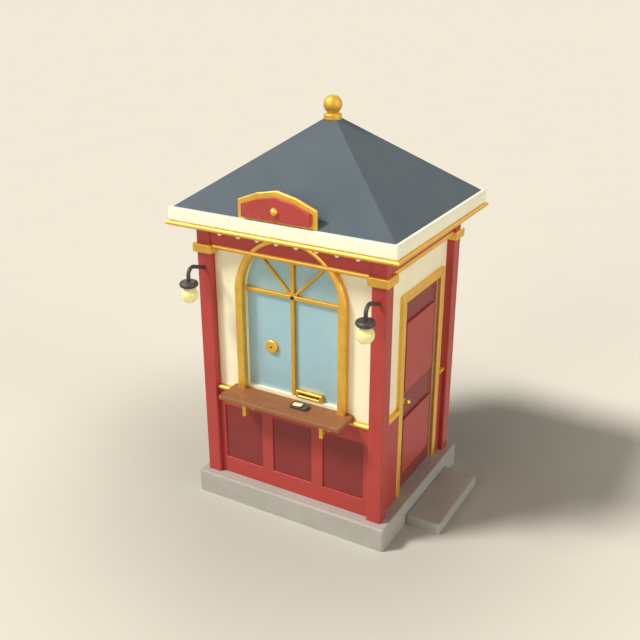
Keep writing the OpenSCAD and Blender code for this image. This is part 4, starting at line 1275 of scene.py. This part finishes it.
class KIOSK_OT_counter(bpy.types.Operator):
    """Counter board, its brackets, and the tray with a paper slip"""

    bl_idname = "kiosk.counter"
    bl_label = "Counter"
    bl_options = {"REGISTER", "UNDO"}
    COVE_STEPS = 16
    BRACKET_EASE = 0.004
    TRAY_ROUND = 0.018
    TRAY_DISH = 0.008
    TRAY_EASE, TRAY_FOOT = 0.003, 0.002
    SLIP_GRID = (17, 9)
    SLIP_LEAN = math.radians(6)
    # Lift of the slip's ends, the gap under its middle, its place on the tray and its thickness
    SLIP_LIFT, SLIP_GAP = 0.002, 0.0006
    SLIP_PLACE = (0.062, -0.002)
    SLIP_THICKNESS = 0.0012

    def execute(self, context):
        shape = context.scene.kiosk_shape
        colours = context.scene.kiosk_colours
        ease = shape.counter_round
        top = block(COUNTER_LOW, COUNTER_HIGH, ease, ease * CORNER_SHARE, ease)
        wood = stained_wood("stained_board", colours.timber)
        add_piece("counter_board", [top], wood, replaces=["counter"])
        self.brackets(shape, gold_trim(context))
        self.tray(colours)
        self.slip(shape, colours)
        return {"FINISHED"}

    def brackets(self, shape, gold):
        """A bracket's side view, with a cove in its foot and a notch over the chair rail, drawn across."""
        low, high = corners_of("counter_brackets")
        rail_front, rail_foot = corners_of("chair_rail")[0][1:]
        middle = (low[1] + high[1]) / 2
        cove = arc((middle, low[2]), shape.cove_radius, math.pi, 0, self.COVE_STEPS)
        foot = [[low[1], low[2]]]
        notch = [[high[1], low[2]], [high[1], rail_foot], [rail_front, rail_foot], [rail_front, high[2]]]
        outline = np.concatenate([foot, cove, notch, [[low[1], high[2]]]])
        side = crowned(shape.bracket_width, self.BRACKET_EASE, self.BRACKET_EASE)
        brackets = [
            carried(side, plain(outline), SIDE, (start, 0, 0))
            for start in (low[0], high[0] - shape.bracket_width)
        ]
        add_piece("counter_brackets_gilt", brackets, gold, replaces=["counter_brackets"])

    def tray(self, colours):
        """Rounded tray: up its side, over its rim and down into the dish."""
        low, high = corners_of("coin_tray")
        tall = high[2] - low[2]
        rim, ease = self.TRAY_ROUND / 2, self.TRAY_EASE
        side = crowned(tall, ease, self.TRAY_FOOT)
        lip = np.stack([ease * LEFT_TO_RISE - rim, tall - ease * COME_IN, QUARTER_MARKS], -1)
        dish = [[-rim, tall - self.TRAY_DISH, 0]]
        outline = rounded(rectangle(low, high), self.TRAY_ROUND)
        tray = carried(np.concatenate([side, lip, dish]), outline, PLAN, (0, 0, low[2]))
        iron = black_iron("blacked_iron", colours.iron)
        add_piece("coin_tray_iron", [tray], iron, replaces=["coin_tray"])

    def slip(self, shape, colours):
        """Paper slip across the tray's left part, its ends lifted a little: z = lift (2u - 1)^2 + gap."""
        low, high = corners_of("coin_tray")
        u, v = np.meshgrid(*(np.linspace(0, 1, count) for count in self.SLIP_GRID))
        x, y = (u - 0.5) * shape.slip_length, (v - 0.5) * shape.slip_width
        c, s = math.cos(self.SLIP_LEAN), math.sin(self.SLIP_LEAN)
        z = self.SLIP_LIFT * (2 * u - 1) ** 2 + self.SLIP_GAP
        grid = np.stack([x * c - y * s, x * s + y * c, z], -1)
        spot = (low[0] + self.SLIP_PLACE[0], (low[1] + high[1]) / 2 + self.SLIP_PLACE[1], high[2])
        sheet = stitched(grid, np.zeros(u.shape), PLAN, spot, False, False)
        piece = add_piece("paper_slip", [sheet], paper("card", colours.paper))
        thick = piece.modifiers.new("card", "SOLIDIFY")
        thick.thickness = self.SLIP_THICKNESS
        thick.offset = 1.0


class KIOSK_OT_lamps(bpy.types.Operator):
    """Bent iron arms on the front posts, with their caps and bulbs"""

    bl_idname = "kiosk.lamps"
    bl_label = "Lamps"
    bl_options = {"REGISTER", "UNDO"}
    ARM_R = 0.0175
    BEND_R = 0.062
    SLOPE = math.radians(20)
    # Depth of the pipe's middle under the arm's top over its radius, and the arm's end over the cap's foot
    ELBOW_SHARE = 1.08
    ARM_END = 0.010
    CAP_RING_SHARE = 0.42
    NECK_R, NECK_LENGTH = 0.040, 0.008
    # Angle by which the ball stops short of the neck's width
    NECK_TURN = 0.1
    BEND_STEPS, CAP_STEPS, BALL_STEPS = 14, 12, 24
    GLOW = 0.22

    def execute(self, context):
        colours = context.scene.kiosk_colours
        iron = black_iron("blacked_iron", colours.iron)
        arm_top = corners_of("lamp_arms")[1][2]
        cap_low, cap_high = corners_of("lamp_caps")
        bulb_low, bulb_high = corners_of("lamp_bulbs")
        cap_r = (cap_high[1] - cap_low[1]) / 2
        lamp_y = (cap_high[1] + cap_low[1]) / 2
        arms, caps, bulbs = [], [], []
        for lamp_x in (cap_low[0] + cap_r, cap_high[0] - cap_r):
            arms.append(self.arm(lamp_x, lamp_y, cap_low[2], arm_top))
            caps.append(self.cap(cap_r, (lamp_x, lamp_y, cap_low[2]), cap_high[2] - cap_low[2]))
            bulbs.append(self.bulb((lamp_x, lamp_y), bulb_low, bulb_high))
        add_piece("lamp_arms_iron", arms, iron, replaces=["lamp_arms"])
        add_piece("lamp_caps_iron", caps, iron, replaces=["lamp_caps"])
        glass = opal("opal_lamp_glass", colours.bulb, self.GLOW)
        add_piece("lamp_bulbs_opal", bulbs, glass, replaces=["lamp_bulbs"])
        return {"FINISHED"}

    def arm(self, lamp_x, lamp_y, foot, top):
        """Round pipe along a slope, a bend and a drop, drawn in an upright plane square to the front."""
        bend_mid = lamp_y + self.BEND_R, top - self.ARM_R * self.ELBOW_SHARE - self.BEND_R
        bend = arc(bend_mid, self.BEND_R, math.pi / 2 - self.SLOPE, math.pi, self.BEND_STEPS)
        run = (-BODY_Y - bend[0][0]) / math.cos(self.SLOPE)
        start = bend[0] + run * np.array([math.cos(self.SLOPE), -math.sin(self.SLOPE)])
        path = plain(np.concatenate([[start], bend, [[lamp_y, foot + self.ARM_END]]]))
        return carried(circle(self.ARM_R), path, SIDE, (lamp_x, 0, 0), loop=False, ring=True)

    def cap(self, radius, middle, tall):
        """Disc with a full round edge, flat above and below."""
        nose = tall / 2
        edge = arc((radius - nose, nose), nose, -math.pi / 2, math.pi / 2, self.CAP_STEPS)
        top = [[radius * self.CAP_RING_SHARE, tall], [FLAT_R, tall]]
        profile = np.concatenate([[[FLAT_R, 0]], edge, top])
        return turned(profile, PLAN, middle)

    def bulb(self, spot, low, high):
        """Opal bulb: a ball that draws in to a neck under the cap."""
        tall = high[2] - low[2]
        radius = (high[1] - low[1]) / 2
        end = math.acos(self.NECK_R / radius) - self.NECK_TURN
        ball = arc((0, radius), radius, -BALL_POLE, end, self.BALL_STEPS)
        neck = [[self.NECK_R, tall - self.NECK_LENGTH], [self.NECK_R, tall], [FLAT_R, tall]]
        profile = np.concatenate([ball, neck])
        return turned(profile, PLAN, (*spot, low[2]))


class KIOSK_OT_frieze_bulbs(bpy.types.Operator):
    """Row of small opal bulbs along the front frieze"""

    bl_idname = "kiosk.frieze_bulbs"
    bl_label = "Frieze bulbs"
    bl_options = {"REGISTER", "UNDO"}
    COUNT = 8
    RADIUS = 0.022
    SOCKET_R = 0.013
    # Depth of the ball's back behind its middle, and height of the socket over its seat, as shares of the
    # way between the two
    BACK_SHARE, SOCKET_SHARE = 0.75, 0.6
    SMALL_FLAT_R = 0.001
    BALL_STEPS = 16
    GLOW = 0.12

    def execute(self, context):
        colours = context.scene.kiosk_colours
        low, high = corners_of("frieze_bulbs")
        half = high[0] - self.RADIUS
        z = (low[2] + high[2]) / 2
        ball_y = low[1] + self.RADIUS
        board_y = corners_of("frieze_boards")[0][1]
        frame_r = FRAME_HIGH[0]
        bulbs, sockets = [], []
        for x in np.linspace(-half, half, self.COUNT):
            from_arch = math.hypot(x, z - (FRAME_HIGH[2] - frame_r))
            seat_y = FRAME_LOW[1] if from_arch < frame_r + self.SOCKET_R else board_y
            tall = seat_y - ball_y
            start = -math.asin(min(1, tall * self.BACK_SHARE / self.RADIUS))
            ball = arc((0, 0), self.RADIUS, start, DOME_POLE, self.BALL_STEPS)
            ball = np.concatenate([[[self.SMALL_FLAT_R, ball[0][1]]], ball])
            bulbs.append(turned(ball, FACE, (x, ball_y, z)))
            socket = rectangle((self.SMALL_FLAT_R, 0), (self.SOCKET_R, tall * self.SOCKET_SHARE))
            sockets.append(turned(socket, FACE, (x, seat_y, z)))
        glass = opal("opal_frieze_glass", colours.frieze_bulb, self.GLOW)
        add_piece("frieze_bulbs_opal", bulbs, glass, replaces=["frieze_bulbs"])
        add_piece("frieze_bulb_sockets", sockets, gilded("brass_fittings", colours.gold))
        return {"FINISHED"}


class KIOSK_OT_door(bpy.types.Operator):
    """Door leaf with raised panels, casing, knob and hinges"""

    bl_idname = "kiosk.door"
    bl_label = "Door"
    bl_options = {"REGISTER", "UNDO"}
    HIGH_PANEL_FOOT = 1.024
    LOW_PANEL_HEIGHT = 0.580
    LEAF_EASE, LEAF_CORNER = 0.003, 0.004
    KNOB_R = 0.025
    KNOB_STEPS = 20
    NECK_SHARE = 0.45
    # Heights of the rose's upright rim and of the neck's foot, and the round between them
    ROSE_RIM, NECK_FOOT, ROSE_ROUND = 0.0032, 0.0085, 0.003

    def execute(self, context):
        shape = context.scene.kiosk_shape
        colours = context.scene.kiosk_colours
        gold = gold_trim(context)
        deep = painted("deep_red_oil", colours.deep_red, UPRIGHT)
        reach = LEAF_LOW[0], LEAF_HIGH[0]
        leaf = board(LEAF_LOW[1:], LEAF_HIGH[1:], reach, self.LEAF_EASE, DOOR_TURN, self.LEAF_CORNER)
        add_piece("door_leaf_timber", [leaf], deep, DOOR, ["door_leaf"])
        self.panels(context, shape)
        self.casing(shape, gold)
        self.knob(gold)
        brass = gilded("brass_fittings", colours.gold)
        for node in ("hinge_pins", "hinge_knuckles"):
            dress(node, brass)
        return {"FINISHED"}

    def panels(self, context, shape):
        """Two raised panels with rounded edges."""
        low, high = corners_of("door_panels")
        ease = shape.panel_round
        spans = (
            (low[2], low[2] + self.LOW_PANEL_HEIGHT),
            (LEAF_LOW[2] + self.HIGH_PANEL_FOOT, high[2]),
        )
        panels = [
            board((low[1], foot), (high[1], top), (low[0], high[0]), ease, DOOR_TURN, ease * CORNER_SHARE)
            for foot, top in spans
        ]
        finish = painted("panel_red_oil", context.scene.kiosk_colours.red, UPRIGHT)
        add_piece("door_panels_timber", panels, finish, DOOR, ["door_panels"])

    def casing(self, shape, gold):
        """Two legs and a head that lies over them, each eased all round its face."""
        wide, ease = shape.casing_width, shape.casing_round
        low, high = CASING_LOW, CASING_HIGH
        reach = (low[0], high[0])
        neck = high[2] - wide
        corner = ease * CORNER_SHARE
        spans = (
            ((low[1], low[2]), (low[1] + wide, neck)),
            ((high[1] - wide, low[2]), (high[1], neck)),
            ((low[1], neck), (high[1], high[2])),
        )
        boards = [board(*span, reach, ease, DOOR_TURN, corner) for span in spans]
        add_piece("door_casing_gilt", boards, gold, replaces=["door_casing"])

    def knob(self, gold):
        """Rose, waisted neck and ball, turned on one profile."""
        low, high = corners_of("door_knob")
        middle = (low[0], (low[1] + high[1]) / 2, (low[2] + high[2]) / 2)
        rose_r = (high[1] - low[1]) / 2
        reach = high[0] - low[0] - self.KNOB_R
        neck = self.KNOB_R * self.NECK_SHARE
        start = -math.acos(self.NECK_SHARE)
        ball = arc((0, reach), self.KNOB_R, start, BALL_POLE, self.KNOB_STEPS)
        rose = arc((rose_r - self.ROSE_ROUND, self.ROSE_RIM), self.ROSE_ROUND, 0, math.pi / 2, ARC_STEPS)
        profile = np.concatenate([[[FLAT_R, 0], [rose_r, 0]], rose, [[neck, self.NECK_FOOT]], ball])
        knob = turned(profile, SIDE, middle)
        add_piece("door_knob_gilt", [knob], gold, DOOR, ["door_knob"])


def any_ray(tree, first, *others):
    """One where a ray is of any of the named kinds: the largest of their flags."""
    path = put(tree, "ShaderNodeLightPath").outputs
    flag = path[first]
    for title in others:
        either = put(tree, "ShaderNodeMath", "MAXIMUM")
        wire(tree, (flag, either.inputs[0]), (path[title], either.inputs[1]))
        flag = either.outputs[0]
    return flag


class KIOSK_OT_stage(bpy.types.Operator):
    """Pale floor, backdrop, lights and camera"""

    bl_idname = "kiosk.stage"
    bl_label = "Stage"
    bl_options = {"REGISTER", "UNDO"}
    SKY_TINT = (0.84, 0.95, 1.04, 1.0)
    # Share of the backdrop's light that metal and glass see in the floor, and its roughness and clouds
    FLOOR_SHINE = 0.7
    FLOOR_ROUGHNESS = 0.9
    FLOOR_FINENESS = 0.8
    FLOOR_CLOUDS = (1.0, 1.01)
    # Distances from the booth's middle between which the floor's painted shade round the booth fades
    SHADE_RING = (1.0, 3.8)

    def execute(self, context):
        colours = context.scene.kiosk_colours
        stage = context.scene.kiosk_stage
        context.scene.view_settings.view_transform = "Standard"
        self.floor(stage, colours)
        self.sky(context, stage, colours)
        for light in LIGHTS:
            self.sun(light, *(getattr(stage, f"{light}_{trait}") for trait in TRAITS))
        self.camera(context, stage)
        return {"FINISHED"}

    def floor(self, stage, colours):
        """A wide square in the backdrop's colour, darkened round the booth by painted shade, that metal
        and glass see plain.

        The painted shade turns to the backdrop's tone with the distance from the booth, by a smooth step.
        """
        half = stage.floor_half
        grid = np.stack([*np.meshgrid([-half, half], [-half, half]), np.zeros((2, 2))], -1)
        square = stitched(grid, np.zeros((2, 2)), PLAN, (0, 0, 0), False, False)
        mesh = bpy.data.meshes.new("floor")
        mesh.from_pydata(square.points.tolist(), [], square.quads.tolist())
        finish = Finish("floor_paint", Specular_IOR_Level=0.0, Roughness=self.FLOOR_ROUGHNESS)
        away = finish.add("ShaderNodeVectorMath", "LENGTH")
        ring = finish.add("ShaderNodeMapRange", From_Min=self.SHADE_RING[0], From_Max=self.SHADE_RING[1])
        ring.interpolation_type = "SMOOTHSTEP"
        clear = finish.toned(colours.backdrop, *self.FLOOR_CLOUDS, finish.mottle(self.FLOOR_FINENESS))
        backdrop = shade(colours.backdrop, 1.0)
        plain_floor = finish.add("ShaderNodeEmission", Color=backdrop, Strength=self.FLOOR_SHINE)
        mix = finish.add("ShaderNodeMixShader")
        wire(
            finish.tree,
            (finish.place, away.inputs[0]),
            (away.outputs["Value"], ring.inputs["Value"]),
            (any_ray(finish.tree, "Is Glossy Ray", "Is Transmission Ray"), mix.inputs[0]),
            (finish.shader.outputs["BSDF"], mix.inputs[1]),
            (plain_floor.outputs[0], mix.inputs[2]),
            (mix.outputs[0], finish.end),
        )
        # The base colour is painted shade near the booth, fading to the backdrop's tone further out
        finish.set(Base_Color=finish.mixed(shade(colours.floor_painted_shade, 1.0), clear, ring.outputs[0]))
        mesh.materials.append(finish.material)
        floor = bpy.data.objects.new("floor", mesh)
        bpy.context.scene.collection.objects.link(floor)

    def sky(self, context, stage, colours):
        """Even light from all round; camera, glossy and transmission rays see the backdrop instead."""
        world = bpy.data.worlds.new("sky")
        world.use_nodes = True
        tree = world.node_tree
        tree.nodes.clear()
        light = put(tree, "ShaderNodeBackground", Color=self.SKY_TINT, Strength=stage.sky_level)
        seen = put(tree, "ShaderNodeBackground", Color=shade(colours.backdrop, 1.0))
        mix = put(tree, "ShaderNodeMixShader")
        end = put(tree, "ShaderNodeOutputWorld")
        wire(
            tree,
            (any_ray(tree, "Is Camera Ray", "Is Glossy Ray", "Is Transmission Ray"), mix.inputs[0]),
            (light.outputs[0], mix.inputs[1]),
            (seen.outputs[0], mix.inputs[2]),
            (mix.outputs[0], end.inputs["Surface"]),
        )
        context.scene.world = world

    def sun(self, name, strength, azimuth, elevation, spread):
        """A broad parallel light, whose strength of 1 lights a surface that faces it to its own colour."""
        lamp = bpy.data.lights.new(name, "SUN")
        lamp.energy = strength * math.pi
        lamp.angle = spread
        light = bpy.data.objects.new(name, lamp)
        light.rotation_euler = outwards(azimuth, elevation).to_track_quat("Z", "Y").to_euler()
        bpy.context.scene.collection.objects.link(light)

    def camera(self, context, stage):
        """Camera on a sphere round its aim."""
        lens = bpy.data.cameras.new("camera")
        lens.sensor_fit = "HORIZONTAL"
        lens.angle = stage.view_angle
        camera = bpy.data.objects.new("camera", lens)
        back = outwards(stage.azimuth, stage.elevation)
        camera.location = Vector((0, stage.aim_y, stage.aim_z)) + back * stage.distance
        camera.rotation_euler = back.to_track_quat("Z", "Y").to_euler()
        context.scene.collection.objects.link(camera)
        context.scene.camera = camera


def outwards(azimuth, elevation):
    """Direction from the booth: the front is azimuth 0 and its right side is a quarter turn."""
    flat = math.cos(elevation)
    return Vector((math.sin(azimuth) * flat, -math.cos(azimuth) * flat, math.sin(elevation)))


MAKERS = (
    KIOSK_OT_stage,
    KIOSK_OT_stone,
    KIOSK_OT_posts,
    KIOSK_OT_capitals,
    KIOSK_OT_dado,
    KIOSK_OT_mouldings,
    KIOSK_OT_walls,
    KIOSK_OT_roof,
    KIOSK_OT_finial,
    KIOSK_OT_sign,
    KIOSK_OT_ticket_window,
    KIOSK_OT_counter,
    KIOSK_OT_lamps,
    KIOSK_OT_frieze_bulbs,
    KIOSK_OT_door,
)


class KIOSK_PT_panel(bpy.types.Panel):
    """Lists the kiosk's settings and makers in the sidebar"""

    bl_idname = "KIOSK_PT_panel"
    bl_label = "Kiosk"
    bl_space_type = "VIEW_3D"
    bl_region_type = "UI"
    bl_category = "Kiosk"

    def draw(self, context):
        for maker in MAKERS:
            self.layout.operator(maker.bl_idname)
        for group in SETTINGS:
            settings = getattr(context.scene, group)
            box = self.layout.box()
            for name in settings.__annotations__:
                box.prop(settings, name)


SETTINGS = {"kiosk_shape": KioskShape, "kiosk_colours": KioskColours, "kiosk_stage": KioskStage}


def register():
    for name, group in SETTINGS.items():
        bpy.utils.register_class(group)
        setattr(bpy.types.Scene, name, bpy.props.PointerProperty(type=group))
    for maker in (*MAKERS, KIOSK_PT_panel):
        bpy.utils.register_class(maker)


def unregister():
    for maker in reversed((*MAKERS, KIOSK_PT_panel)):
        bpy.utils.unregister_class(maker)
    for name, group in SETTINGS.items():
        delattr(bpy.types.Scene, name)
        bpy.utils.unregister_class(group)


def main():
    """Registers the add-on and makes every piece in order."""
    register()
    bpy.ops.kiosk.stage()
    bpy.ops.kiosk.stone()
    bpy.ops.kiosk.posts()
    bpy.ops.kiosk.capitals()
    bpy.ops.kiosk.dado()
    bpy.ops.kiosk.mouldings()
    bpy.ops.kiosk.walls()
    bpy.ops.kiosk.roof()
    bpy.ops.kiosk.finial()
    bpy.ops.kiosk.sign()
    bpy.ops.kiosk.ticket_window()
    bpy.ops.kiosk.counter()
    bpy.ops.kiosk.lamps()
    bpy.ops.kiosk.frieze_bulbs()
    bpy.ops.kiosk.door()


if __name__ == "__main__":
    main()
